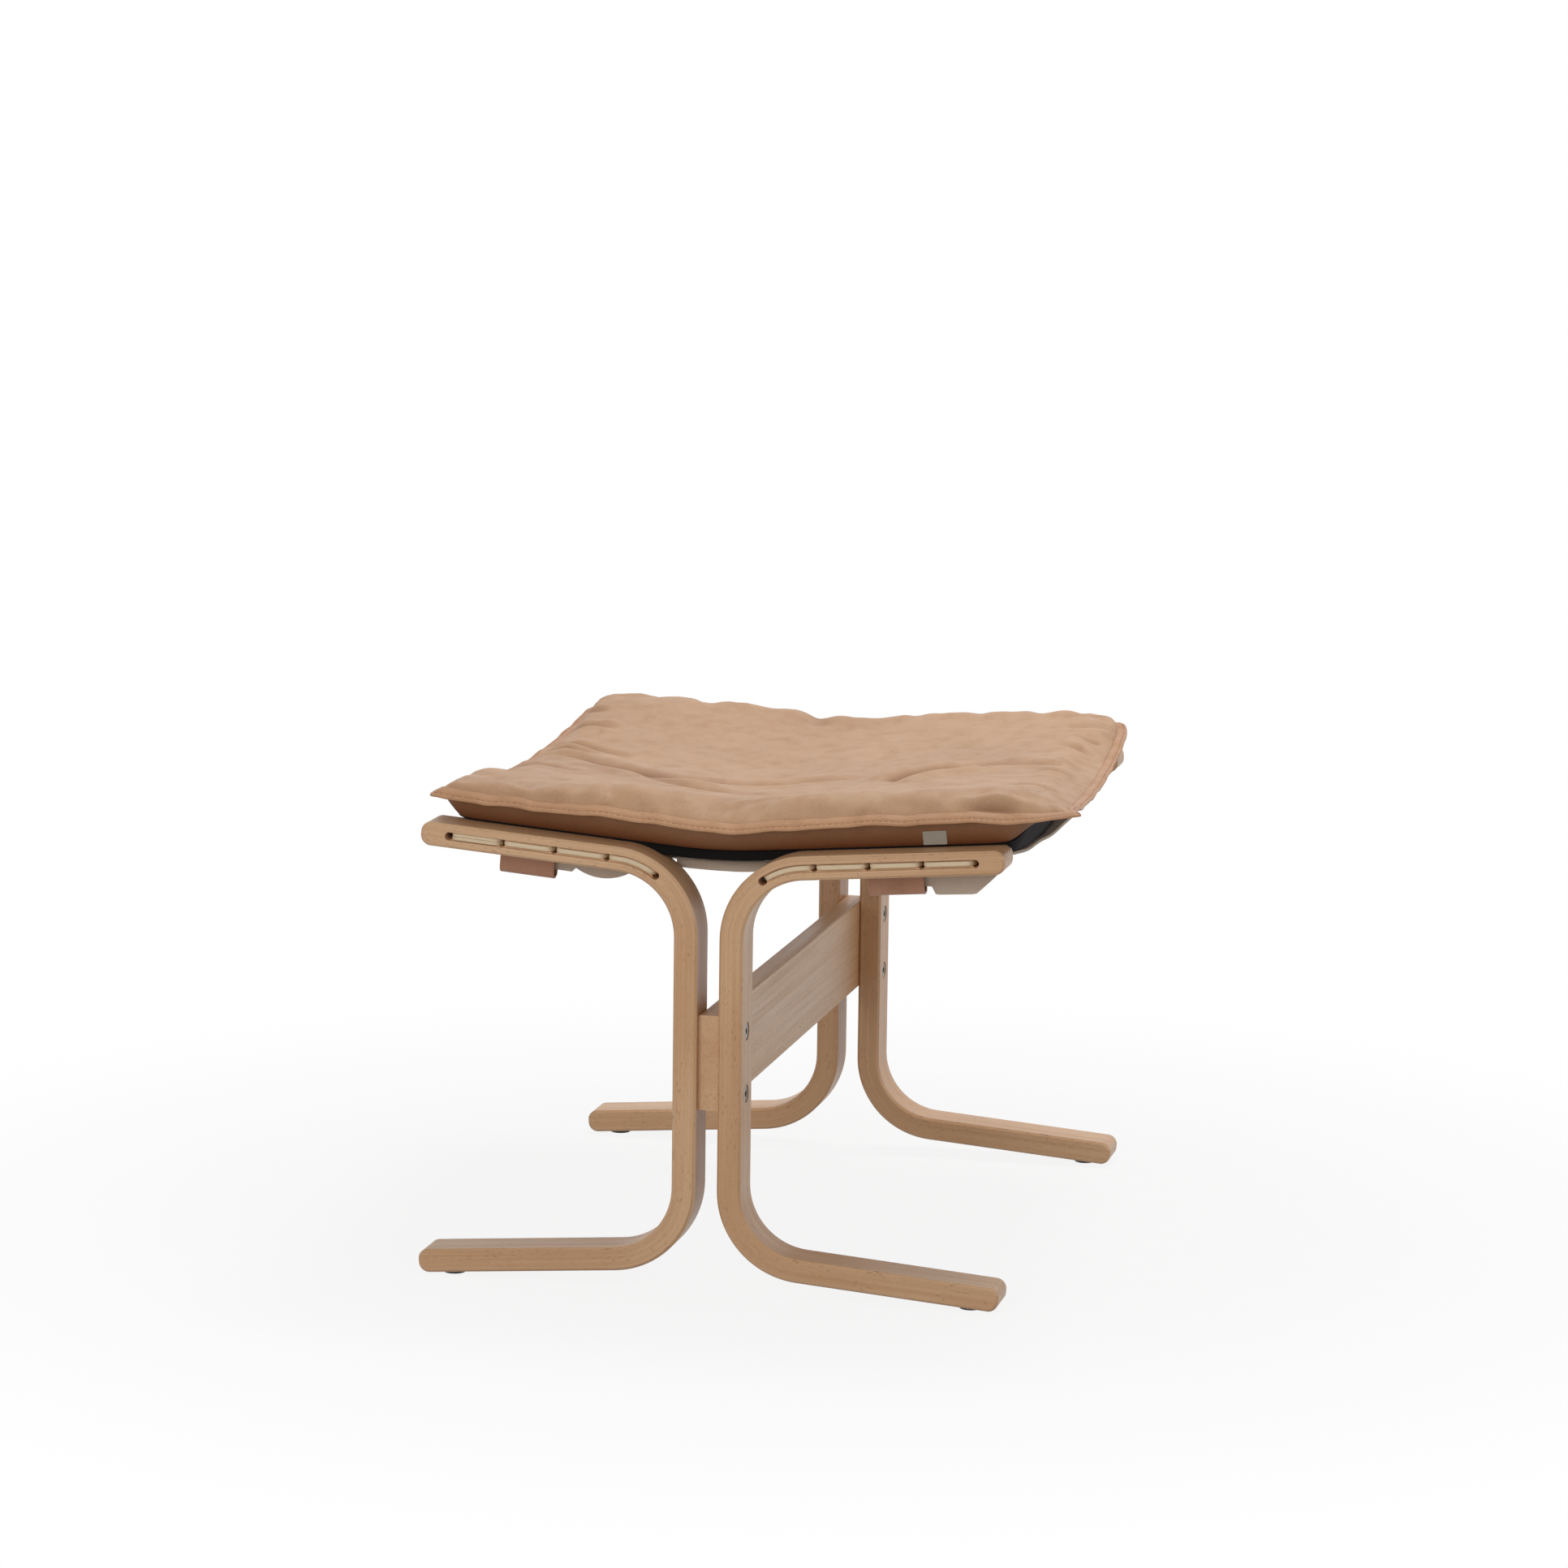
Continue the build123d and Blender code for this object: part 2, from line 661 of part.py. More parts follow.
def make_strap_and_stud():
    """The near right strap, which wraps the hem flap from the arm's side, and its press stud."""
    front = strap_gap + strap_thickness / 2 - hem_rod_gap
    back = front + strap_loop
    top = lamination_thickness / 2 + rest_clearance - cord_clearance
    lowest = strap_thickness / 2 - strap_drop
    tail = lowest + strap_tail
    line = FilletPolyline(
        (0, front, top),
        (0, front, lowest),
        (0, back, lowest),
        (0, back, tail),
        radius=strap_bend_share * strap_loop / 2,
    )
    start = Plane(origin=line.position_at(0), x_dir=(1, 0, 0), z_dir=line.tangent_at(0))
    strap = sweep(start * Rectangle(strap_flap_width, strap_thickness), path=line)
    neck_middle = strap_neck_place - strap_place
    for side in (-1, 1):
        inner = neck_middle + side * strap_neck_width / 2
        outer = side * (strap_flap_width / 2 + overrun)
        cut = Box(abs(outer - inner), 2 * strap_thickness, top + strap_neck_height + overrun)
        middle = (top + overrun - strap_neck_height) / 2
        strap -= Pos((inner + outer) / 2, front, middle) * cut
    bore = stud_shank_diameter / 2 + stud_clearance
    strap -= y_cylinder(bore, back - overrun / 2, back + overrun, 0, -stud_drop)
    outside = back + strap_thickness / 2
    flap = flap_thickness / 2
    stud = y_cylinder(stud_cap_diameter / 2, outside, outside + stud_cap_height, 0, -stud_drop)
    stud += y_cylinder(stud_shank_diameter / 2, flap, outside, 0, -stud_drop)
    stud += y_cylinder(stud_cap_diameter / 2, flap, back - strap_thickness / 2, 0, -stud_drop)
    place = Pos(strap_place, -rod_middle, arm_axis(strap_place)) * Rot(0, -arm_slope_degrees, 0)
    return place * strap, place * stud


def make_side_tab():
    """The small blank tab on the near boxing, a plate that lies along it."""
    rise = seam_rise - rim_height / 2 - rest_clearance
    along = Vector(cos(arm_slope), 0, sin(arm_slope))
    outward = Vector(0, boxing_inset, -rise).cross(along).normalized()
    middle = Vector(
        tab_place,
        boxing_inset / 2 - cushion_half_depth,
        seat_height(tab_place) + rest_clearance + rise / 2,
    )
    origin = middle + outward * (tab_gap + tab_thickness / 2)
    plane = Plane(origin=origin, x_dir=along, z_dir=outward)
    return plane * Box(tab_width, tab_length, tab_thickness)


def make_parts():
    """Every node of the stool by name."""
    parts = {}
    blank = make_leg_blank()
    strap, stud = make_strap_and_stud()
    groups = {
        "leg": make_leg(blank),
        "lacing": make_lacing(),
        "hem_rod": make_hem_rod(),
        "strap": strap,
        "glide": make_glide(blank),
    }
    for name, shape in groups.items():
        for place, copy in four_ways(shape).items():
            parts[f"{name}_{place}"] = copy
    parts["strap_studs"] = Compound(children=list(four_ways(stud).values()))
    parts["stretcher"] = make_stretcher()
    parts["connector_bolts"], parts["sleeve_nuts"] = make_bolts_and_nuts()
    parts["canvas_sling"] = make_canvas()
    cushion = make_cushion()
    names = ("cushion_filling", "cushion_cover", "cushion_base_cloth", "seam_flange")
    parts.update(zip(names, cushion))
    parts["side_tab"] = make_side_tab()
    return parts


def make_stool():
    """Every node, moved so that the origin is on the floor under the middle of the whole stool."""
    parts = make_parts()
    boxes = [shape.bounding_box() for shape in parts.values()]
    middle = (min(box.min.X for box in boxes) + max(box.max.X for box in boxes)) / 2
    print(f"move by {-middle:.3f} along X")
    stool = {}
    for name, shape in parts.items():
        solids = [Pos(-middle, 0, 0) * solid for solid in shape.solids()]
        stool[name] = solids[0] if len(solids) == 1 else Compound(children=solids)
    return stool


if __name__ == "__main__":
    os.makedirs("parts", exist_ok=True)
    for node, shape in make_stool().items():
        export_step(shape, f"parts/{node}.step")
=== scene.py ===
"""Looks of a footstool: bent beech frames, a laced canvas sling and a loose leather cushion.

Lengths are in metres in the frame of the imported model: X runs across the arms, Y from the near
side to the far one and Z up from the floor. The wooden frame stands a little left of the origin,
so places on it are written from its own middle, and middle_x is added when a mesh is written.
"""

from math import cos, pi, radians, sin, tan

import bpy
import numpy as np
from bpy.props import FloatProperty, FloatVectorProperty, IntProperty
from mathutils import Matrix, Vector, noise


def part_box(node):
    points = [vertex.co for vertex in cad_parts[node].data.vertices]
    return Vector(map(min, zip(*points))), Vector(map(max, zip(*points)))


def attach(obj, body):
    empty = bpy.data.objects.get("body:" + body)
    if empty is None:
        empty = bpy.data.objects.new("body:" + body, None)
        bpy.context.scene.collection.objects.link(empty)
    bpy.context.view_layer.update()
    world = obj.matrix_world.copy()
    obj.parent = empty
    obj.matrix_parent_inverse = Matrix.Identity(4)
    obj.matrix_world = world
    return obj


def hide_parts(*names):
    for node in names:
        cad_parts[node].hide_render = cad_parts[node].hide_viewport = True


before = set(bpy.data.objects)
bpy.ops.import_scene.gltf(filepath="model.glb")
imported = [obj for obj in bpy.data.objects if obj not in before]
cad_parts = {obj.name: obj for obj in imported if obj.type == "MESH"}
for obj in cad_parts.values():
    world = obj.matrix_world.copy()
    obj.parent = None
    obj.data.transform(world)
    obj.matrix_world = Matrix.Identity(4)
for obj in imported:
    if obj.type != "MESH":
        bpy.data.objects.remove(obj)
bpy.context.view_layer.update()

bl_info = {
    "name": "Laced footstool",
    "version": (1, 0, 0),
    "blender": (4, 5, 0),
    "location": "3D View > Sidebar > Footstool",
    "description": "Models a laced footstool with a leather cushion around its packed frame",
    "category": "Object",
}

stretcher_low, stretcher_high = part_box("stretcher")
middle_x = (stretcher_low.x + stretcher_high.x) / 2
frame_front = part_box("leg_near_right")[0].y
arm_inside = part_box("leg_near_right")[1].y
rod_y = (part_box("hem_rod_near_right")[0].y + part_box("hem_rod_near_right")[1].y) / 2
# Signs of X and Y that carry what is modelled at the near right to each corner
side_signs = {"near_left": (-1, 1), "near_right": (1, 1), "far_left": (-1, -1), "far_right": (1, -1)}


def linear(code):
    """A hexadecimal screen colour as linear red, green and blue."""
    shares = [int(code[place : place + 2], 16) / 255 for place in (0, 2, 4)]
    return tuple(((share + 0.055) / 1.055) ** 2.4 for share in shares)


def length(label, description, default):
    """A length property."""
    return FloatProperty(name=label, description=description, default=default, unit="LENGTH")


def colour(label, description, code):
    """A colour property with a screen colour as its default."""
    return FloatVectorProperty(
        name=label, description=description, default=linear(code), subtype="COLOR", size=3
    )


class StoolSizes(bpy.types.PropertyGroup):
    """Sizes of the pieces that are modelled over the frame."""

    arm_height: length("Arm height", "Floor to the top of an arm at its tip", 0.396)
    arm_reach: length("Arm reach", "Middle of the frame to an arm tip", 0.252)
    arm_slope: FloatProperty(
        name="Arm slope", description="How steeply the arms rise outwards",
        default=radians(4.6), unit="ROTATION",
    )
    bend_radius: length("Bend radius", "Radius of a lamination's centreline", 0.06525)
    lamination: length("Lamination", "Thickness of a bent lamination", 0.0205)
    cushion_left: length("Cushion left reach", "Middle of the frame to the left rim", 0.244)
    cushion_right: length("Cushion right reach", "Middle of the frame to the right rim", 0.274)
    cushion_skew: length("Cushion skew", "How far the right rim stands out at the near end", 0.018)
    cushion_depth: length("Cushion half depth", "Middle of the frame to the near rim", 0.283)
    seam_rise: length("Seam rise", "Arm top to the seam", 0.0215)
    crown_rise: length("Crown rise", "Seam to the crown of the edge roll", 0.0165)
    roll_rise: length("Roll rise", "Seam to the inner shoulder of the edge roll", 0.0120)
    middle_rise: length("Middle rise", "Seam to the top of the dished middle", -0.0062)
    dish_depth: length("Dish depth", "How far the middle hangs below the edges", 0.022)
    end_roll: length("End roll", "Width over which the left and right ends round down", 0.040)
    boxing_inset: length("Boxing inset", "How far the boxing draws in below the seam", 0.0125)
    flange_width: length("Flange width", "Width of the stitched seam flange", 0.008)
    flange_thickness: length("Flange thickness", "Thickness of the seam flange", 0.003)
    canvas_sag: length("Canvas sag", "How far the sling hangs at its middle", 0.023)
    canvas_thickness: length("Canvas thickness", "Thickness of the sling's canvas", 0.0016)
    cord_width: length("Cord width", "Width of the flat lacing cord", 0.0044)
    cord_thickness: length("Cord thickness", "Thickness of the flat lacing cord", 0.0019)
    swell_limit: length("Swell limit", "How far the stuffed leather may move", 0.0035)
    pressure: FloatProperty(
        name="Pressure", description="Pressure of the filling under the leather", default=4.0
    )
    cushion_cells: IntProperty(
        name="Cushion cells", description="Cells along each side of the cushion", default=50
    )


class StoolColours(bpy.types.PropertyGroup):
    """Colours of the stool's finishes."""

    beech: colour("Beech", "Lacquered beech", "D3AC84")
    fleck: colour("Beech fleck", "Short dark flecks in the beech", "8A6247")
    leather: colour("Leather", "Tan leather of the cushion", "C89F7B")
    flange: colour("Flange leather", "The stitched flange round the seam", "C4956E")
    # Darker clouds of the leather itself, and also the painted shade in the cushion's creases and on
    # its boxing.
    leather_clouds_and_painted_shade: colour("Leather shade", "Darker clouds and creases in the leather", "6E3C16")
    strap: colour("Strap leather", "Pinkish leather of the straps", "C19076")
    canvas: colour("Canvas", "Unbleached canvas", "DFCDBB")
    cord: colour("Cord", "Waxed lacing cord", "EED9B8")
    base_cloth: colour("Base cloth", "Black cloth under the cushion", "151112")
    tab: colour("Tab", "Blank woven tab", "BDB8AC")
    steel: colour("Steel", "Zinc-plated steel", "8C8880")
    glide: colour("Glide", "Moulded floor glides", "35332F")
    floor: colour("Floor", "Pale studio floor", "BEBCB9")


def sizes():
    """The stool's sizes."""
    return bpy.context.scene.stool_sizes


def tone(name):
    """One of the stool's colours, as a shader value."""
    return (*getattr(bpy.context.scene.stool_colours, name), 1.0)


# Heights and plan of the seat and its cords, from the middle of the wooden frame

valley_reach = 0.040
rest_clearance = 0.0004
sling_edge = 0.2459
sling_drop = 0.01018
ledge_place = 0.252
hollow_place = 0.232
crown_place = 0.253
roll_place = 0.221
end_share = 0.13
left_roll = 0.023
ear_reach = 0.018
ear_rise = 0.0035
cord_clearance = 0.0002
lamination_plies = 13
white = (1.0, 1.0, 1.0, 1.0)


def smooth(share):
    """A share held between 0 and 1, with soft ends."""
    held = np.clip(share, 0, 1)
    return held * held * (3 - 2 * held)


def arm_top(x):
    """Height of the arms' top."""
    return sizes().arm_height - (sizes().arm_reach - np.abs(x)) * tan(sizes().arm_slope)


def arm_axis(x):
    """Height of the arms' centreline, on which the holes and the hem rods lie."""
    return arm_top(x) - sizes().lamination / 2 / cos(sizes().arm_slope)


def seat_height(x):
    """Arm top, with the valley between the two slopes rounded."""
    rise = valley_reach * tan(sizes().arm_slope) / 2
    rounded = arm_top(valley_reach) - rise * (1 - (x / valley_reach) ** 2)
    return np.where(np.abs(x) >= valley_reach, arm_top(x), rounded)


def square_plan(across, along):
    """Plan place of a cushion point with square corners: both run from -1 to 1, rim to rim."""
    rim_density = 0.2
    spread = [(1 + rim_density) * share - rim_density * share**3 for share in (across, along)]
    left = -sizes().cushion_left
    right = sizes().cushion_right - sizes().cushion_skew * spread[1]
    x = (left + right) / 2 + spread[0] * (right - left) / 2
    return x, sizes().cushion_depth * spread[1]


def ear_share(across, along):
    """Share of the near right corner, which stands out and up like a small ear."""
    return np.clip(across, 0, 1) ** 7 * np.clip(-along, 0, 1) ** 7


def cushion_plan(across, along):
    """Plan place of a cushion point with its corners drawn in, the far ones more."""
    x, y = square_plan(across, along)
    far = along > 0
    far_pull, near_pull, far_power, near_power = 0.013, 0.004, 10, 16
    pull, power = np.where(far, far_pull, near_pull), np.where(far, far_power, near_power)
    x = x - pull * across * np.abs(along) ** power
    y = y - pull * along * np.abs(across) ** power
    return x + ear_reach * ear_share(across, along), y


def outward(across, along):
    """Plan direction out of the cushion at its rim, longer at the corners, where it is a mitre."""
    return np.sign(across) * np.abs(across) ** 9, np.sign(along) * np.abs(along) ** 9


def end_distances(x, y):
    """Distances of cushion points from the left and the right rim."""
    right_rim = sizes().cushion_right - sizes().cushion_skew * y / sizes().cushion_depth
    return x + sizes().cushion_left, right_rim - x


def thickness_share(x, y):
    """Share of the cushion's full thickness, which falls towards its left and right ends."""
    left, right = end_distances(x, y)
    run = np.clip(np.minimum(left / left_roll, right / sizes().end_roll), 0, 1)
    return end_share + (1 - end_share) * np.sqrt(1 - (1 - run) ** 2)


def cushion_height(x, y, lift):
    """Height of a cushion point, where lift is its height over the seam at full thickness."""
    seam = seat_height(x) + sizes().seam_rise
    hang = sizes().dish_depth * (1 - (y / sizes().cushion_depth) ** 2)
    share = thickness_share(x, y)
    return seam - hang * (1 - share) + lift * share


def seam_lift(x, y):
    """How far the seam is pushed up from its straight course by the filling."""
    half = sizes().cushion_depth
    everywhere, near_push, near_hump, hump_place = 0.0018, 0.0020, 0.0030, -0.075
    flat_depth, right_rise, near_right_rise = 0.0060, 0.0045, 0.0032
    near = smooth((-y - 0.15) / 0.1)
    inside = 1 - (y / half) ** 2
    pushed = near_push + near_hump * np.exp(-(((x - hump_place) / 0.055) ** 2))
    flat_left = flat_depth * smooth((-x - 0.08) / 0.10) * smooth((-y - 0.19) / 0.03)
    flat_left = flat_left * smooth((half - 0.004 + y) / 0.02)
    raised = right_rise * inside * smooth((x + 0.03) / 0.12)
    near_right = near_right_rise * near * smooth((x - 0.02) / 0.10) * smooth((0.262 - x) / 0.03)
    return everywhere + near * pushed + raised + near_right - flat_left


def top_lift(y):
    """Height of the leather over the seam: a dished middle, a shoulder and a rolled edge."""
    away = np.abs(y)
    shoulder = sizes().roll_rise
    crown = sizes().crown_rise
    middle = sizes().middle_rise + (shoulder - sizes().middle_rise) * (away / roll_place) ** 2
    roll = shoulder + (crown - shoulder) * smooth((away - roll_place) / (crown_place - roll_place))
    fall = np.clip((away - crown_place) / (sizes().cushion_depth - crown_place), 0, 1)
    edge = crown * np.sqrt(1 - fall**2)
    return np.where(away < roll_place, middle, np.where(away < crown_place, roll, edge))


def base_lift(y):
    """Height of the cushion's underside over the seam: flat on the arms, then down to the sling."""
    away = np.abs(y)
    rest = rest_clearance - sizes().seam_rise
    sag = sizes().canvas_sag * (1 - (np.minimum(away, hollow_place) / sling_edge) ** 2)
    hollow = rest - sling_drop - sag
    return hollow + (rest - hollow) * np.clip(
        (away - hollow_place) / (ledge_place - hollow_place), 0, 1
    )


def top_height(x, y):
    """Height of the leather's top."""
    return cushion_height(x, y, top_lift(y)) + seam_lift(x, y)


def base_height(x, y):
    """Height of the cushion's underside."""
    return cushion_height(x, y, base_lift(y))


def foot_height(across, along):
    """Height of the boxing's foot, which is raised at the right end, where the boxing is low."""
    square_x, square_y = square_plan(across, along)
    out_x, out_y = outward(across, along)
    inset = sizes().boxing_inset
    foot = base_height(square_x - inset * out_x, square_y - inset * out_y)
    low_boxing, start, run = 0.0075, 0.78, 0.14
    gap = top_height(square_x, square_y) - low_boxing - foot
    return foot + smooth((across - start) / run) * np.maximum(gap, 0)


def leather_height(across, along):
    """Height of the leather's top at a place of the cushion's plan, with its ear."""
    return top_height(*square_plan(across, along)) + ear_rise * ear_share(across, along)


def boxing_point(across, along, depth):
    """A point of the leather below the seam: depth runs from the seam at 0 to the foot at 1."""
    x, y = cushion_plan(across, along)
    out_x, out_y = outward(across, along)
    bulge, foot_clearance = 0.0012, 0.0008
    drawn_in = sizes().boxing_inset * depth - bulge * np.sin(pi * depth)
    seam = leather_height(across, along)
    foot = foot_height(across, along) + foot_clearance + ear_rise * ear_share(across, along)
    height = seam + (foot - seam) * depth
    return x - drawn_in * out_x, y - drawn_in * out_y, height


def bend_centre():
    """Distance of a bend's centre from the middle of the wooden frame."""
    board = stretcher_high.x - stretcher_low.x
    return (board + sizes().lamination) / 2 + sizes().bend_radius


def lamination_point(run):
    """A point of an arm's centreline at a run from its tip, and its inward direction, as (x, z)."""
    slope, radius = sizes().arm_slope, sizes().bend_radius
    tip = Vector((sizes().arm_reach, float(arm_axis(sizes().arm_reach))))
    straight = (sizes().arm_reach - bend_centre() + radius * sin(slope)) / cos(slope)
    way = Vector((-cos(slope), -sin(slope)))
    if run <= straight:
        return tip + way * run, way
    centre = tip + way * straight + Vector((sin(slope), -cos(slope))) * radius
    turn = slope + (run - straight) / radius
    return centre + Vector((-sin(turn), cos(turn))) * radius, Vector((-cos(turn), -sin(turn)))


def hole_runs():
    """Runs of the lacing holes from the arm tip."""
    first_hole, spacing, count = 0.025, 0.046, 5
    return [first_hole + index * spacing for index in range(count)]


# Mesh helpers


def deselect():
    """Leaves object mode with nothing selected."""
    if bpy.context.mode != "OBJECT":
        bpy.ops.object.mode_set(mode="OBJECT")
    bpy.ops.object.select_all(action="DESELECT")


def choose(piece):
    """Leaves object mode with one piece selected and active."""
    deselect()
    piece.select_set(True)
    bpy.context.view_layer.objects.active = piece


def edit(piece, faces=None):
    """Opens a piece in edit mode with everything selected, or only some faces by index."""
    choose(piece)
    bpy.ops.object.mode_set(mode="EDIT")
    bpy.ops.mesh.select_mode(type="VERT" if faces is None else "FACE")
    bpy.ops.mesh.select_all(action="SELECT" if faces is None else "DESELECT")
    if faces is not None:
        stop_edit()
        for index in faces:
            piece.data.polygons[index].select = True
        bpy.ops.object.mode_set(mode="EDIT")


def stop_edit():
    """Back to object mode."""
    bpy.ops.object.mode_set(mode="OBJECT")


def add_grid(name, columns, rows):
    """A flat grid from -1 to 1 with its own map, ready to be shaped."""
    deselect()
    bpy.ops.mesh.primitive_grid_add(x_subdivisions=columns, y_subdivisions=rows, size=2)
    piece = bpy.context.object
    piece.name = piece.data.name = name
    return piece


def read_points(piece):
    """The vertices of a piece as an array."""
    points = np.zeros(len(piece.data.vertices) * 3, np.float32)
    piece.data.vertices.foreach_get("co", points)
    return points.reshape(-1, 3).astype(float)


def write_points(piece, points):
    """Puts the vertices of a piece where an array says."""
    piece.data.vertices.foreach_set("co", np.asarray(points, np.float32).ravel())
    piece.data.update()


def place(piece, x, y, z):
    """Writes columns of coordinates, with x from the middle of the wooden frame."""
    write_points(piece, np.column_stack([x + middle_x, y, z]))


def face_out(piece):
    """Turns the faces outwards."""
    edit(piece)
    bpy.ops.mesh.normals_make_consistent(inside=False)
    stop_edit()


def close_up(piece, merge=0.00002):
    """Merges what meets, fills open ends and turns the faces outwards."""
    edit(piece)
    bpy.ops.mesh.remove_doubles(threshold=merge)
    bpy.ops.mesh.select_all(action="SELECT")
    bpy.ops.mesh.fill_holes(sides=0)
    stop_edit()
    face_out(piece)


def apply_modifier(piece, kind, **settings):
    """Adds a modifier, sets it and applies it."""
    modifier = piece.modifiers.new(kind.title(), kind)
    for name, value in settings.items():
        setattr(modifier, name, value)
    choose(piece)
    bpy.ops.object.modifier_apply(modifier=modifier.name)


def subdivide(piece, levels):
    """Rounds a piece with applied subdivision."""
    apply_modifier(piece, "SUBSURF", levels=levels, render_levels=levels)


def thicken(piece, thickness):
    """Makes closed cloth of a sheet."""
    apply_modifier(piece, "SOLIDIFY", thickness=thickness, offset=0.0)
    close_up(piece, 0.000001)


def write_values(piece, name, values):
    """Gives each vertex a number under a name."""
    attribute = piece.data.attributes.new(name, "FLOAT", "POINT")
    attribute.data.foreach_set("value", np.asarray(values, np.float32))


def take_values(piece, name):
    """Reads the vertices' numbers under a name and removes them from the piece."""
    attribute = piece.data.attributes[name]
    values = np.zeros(len(piece.data.vertices), np.float32)
    attribute.data.foreach_get("value", values)
    piece.data.attributes.remove(attribute)
    return values


def sweep_piece(name, centres, across, up, profile, closed=False):
    """A profile carried along centres: each profile point is a step across and a step up."""
    stations, around = len(centres), len(profile)
    columns = stations if closed else stations - 1
    piece = add_grid(name, columns, around)
    flat = read_points(piece)
    station = np.rint((flat[:, 0] + 1) / 2 * columns).astype(int) % stations
    corner = np.rint((flat[:, 1] + 1) / 2 * around).astype(int) % around
    steps = np.asarray(profile)[corner]
    points = np.asarray(centres, float)[station]
    points = points + np.asarray(across, float)[station] * steps[:, :1]
    points = points + np.asarray(up, float)[station] * steps[:, 1:]
    place(piece, *points.T)
    close_up(piece)
    return piece


def oval_profile(width, height):
    """A flat oval section."""
    sides, flatness = 12, 0.7
    profile = []
    for index in range(sides):
        turn = 2 * pi * index / sides
        run, rise = [np.sign(value) * abs(value) ** flatness for value in (cos(turn), sin(turn))]
        profile.append((width / 2 * run, height / 2 * rise))
    return profile


def join(pieces, name):
    """Joins pieces into one with its place in its mesh."""
    choose(pieces[0])
    for piece in pieces:
        piece.select_set(True)
    bpy.ops.object.join()
    pieces[0].name = pieces[0].data.name = name
    return pieces[0]


def add_object(name, data):
    """Puts a mesh, lamp or camera in the scene."""
    holder = bpy.data.objects.new(name, data)
    bpy.context.scene.collection.objects.link(holder)
    return holder


def merged_copy(node, name):
    """A copy of a CAD node with its loose triangles merged."""
    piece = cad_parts[node].copy()
    piece.data = piece.data.copy()
    for key in list(piece.keys()):
        del piece[key]
    piece.parent = None
    piece.name = piece.data.name = name
    bpy.context.scene.collection.objects.link(piece)
    piece.hide_render = False
    edit(piece)
    bpy.ops.mesh.remove_doubles(threshold=0.00001)
    bpy.ops.mesh.select_all(action="SELECT")
    bpy.ops.mesh.customdata_custom_splitnormals_clear()
    stop_edit()
    return piece


def finish_piece(piece, material, angle=None):
    """Gives a piece its finish, soft shading and its body."""
    choose(piece)
    if angle is None:
        bpy.ops.object.shade_smooth()
    else:
        bpy.ops.object.shade_smooth_by_angle(angle=radians(angle))
    piece.data.materials.clear()
    piece.data.materials.append(material)
    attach(piece, "root")
    return piece


def dress_node(node, material):
    """Gives a CAD node that stays its finish."""
    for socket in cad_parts[node].material_slots:
        socket.material = material


# Shader helpers


def feed(tree, socket, value):
    """Sets an input, or links it where the value is a socket."""
    if isinstance(value, bpy.types.NodeSocket):
        tree.links.new(value, socket)
    else:
        socket.default_value = value


def fill(tree, node, **values):
    """Feeds a node's inputs by name, with underscores in the names for spaces."""
    for name, value in values.items():
        feed(tree, node.inputs[name.replace("_", " ")], value)


def put(tree, kind, *values, **settings):
    """Adds a node. Values go to its inputs in order, as numbers or as the sockets that feed them."""
    node = tree.nodes.new(kind)
    for name, value in settings.items():
        setattr(node, name, value)
    for socket, value in zip(node.inputs, values):
        feed(tree, socket, value)
    return node


def calc(tree, operation, *values):
    """A sum on values or sockets."""
    return put(tree, "ShaderNodeMath", *values, operation=operation).outputs[0]


def times(tree, first, second):
    """A product."""
    return calc(tree, "MULTIPLY", first, second)


def blend(tree, share, first, second, way="MIX"):
    """Mixes two colours."""
    node = put(tree, "ShaderNodeMix", share, data_type="RGBA", blend_type=way)
    for index, value in ((6, first), (7, second)):
        feed(tree, node.inputs[index], value)
    return node.outputs[2]


def tinted(tree, colour, red, green, blue):
    """A colour with each of its shares multiplied."""
    return blend(tree, 1.0, colour, (red, green, blue, 1.0), "MULTIPLY")


def ramp(tree, value, low, high, to_low=0.0, to_high=1.0):
    """Maps a value smoothly from one range to another."""
    return put(
        tree, "ShaderNodeMapRange", value, low, high, to_low, to_high,
        interpolation_type="SMOOTHSTEP",
    ).outputs[0]


def coordinates(tree, kind="Object"):
    """Coordinates of the object, or of its own map."""
    return put(tree, "ShaderNodeTexCoord").outputs[kind]


def axes(tree, vector):
    """The three parts of a vector."""
    return put(tree, "ShaderNodeSeparateXYZ", vector).outputs


def scaled(tree, vector, factors):
    """A vector stretched along its axes."""
    still = (0.0, 0.0, 0.0)
    return put(tree, "ShaderNodeMapping", vector, still, still, factors).outputs[0]


def grain_noise(tree, vector, scale, detail=2.0, roughness=0.5):
    """A noise value. Three scales stretch it along the axes."""
    if isinstance(scale, tuple):
        vector, scale = scaled(tree, vector, scale), 1.0
    node = tree.nodes.new("ShaderNodeTexNoise")
    fill(tree, node, Vector=vector, Scale=scale, Detail=detail, Roughness=roughness)
    return node.outputs[0]


def cell_gaps(tree, vector, scale):
    """Distance from the edges of a field of cells."""
    node = put(tree, "ShaderNodeTexVoronoi", feature="DISTANCE_TO_EDGE")
    fill(tree, node, Vector=vector, Scale=scale)
    return node.outputs["Distance"]


def new_group(name, outputs, **inputs):
    """A shader group, whose inputs' kinds show in their defaults; gives it, its source and sink."""
    kinds = {type(None): "Vector", tuple: "Color", float: "Float"}
    group = bpy.data.node_groups.new(name, "ShaderNodeTree")
    for label, default in inputs.items():
        socket = group.interface.new_socket(
            label.replace("_", " "), in_out="INPUT", socket_type=f"NodeSocket{kinds[type(default)]}"
        )
        if default is not None:
            socket.default_value = default
    for label in outputs:
        kind = "Color" if label == "Colour" else "Float"
        group.interface.new_socket(label, in_out="OUTPUT", socket_type=f"NodeSocket{kind}")
    return group, group.nodes.new("NodeGroupInput").outputs, group.nodes.new("NodeGroupOutput")


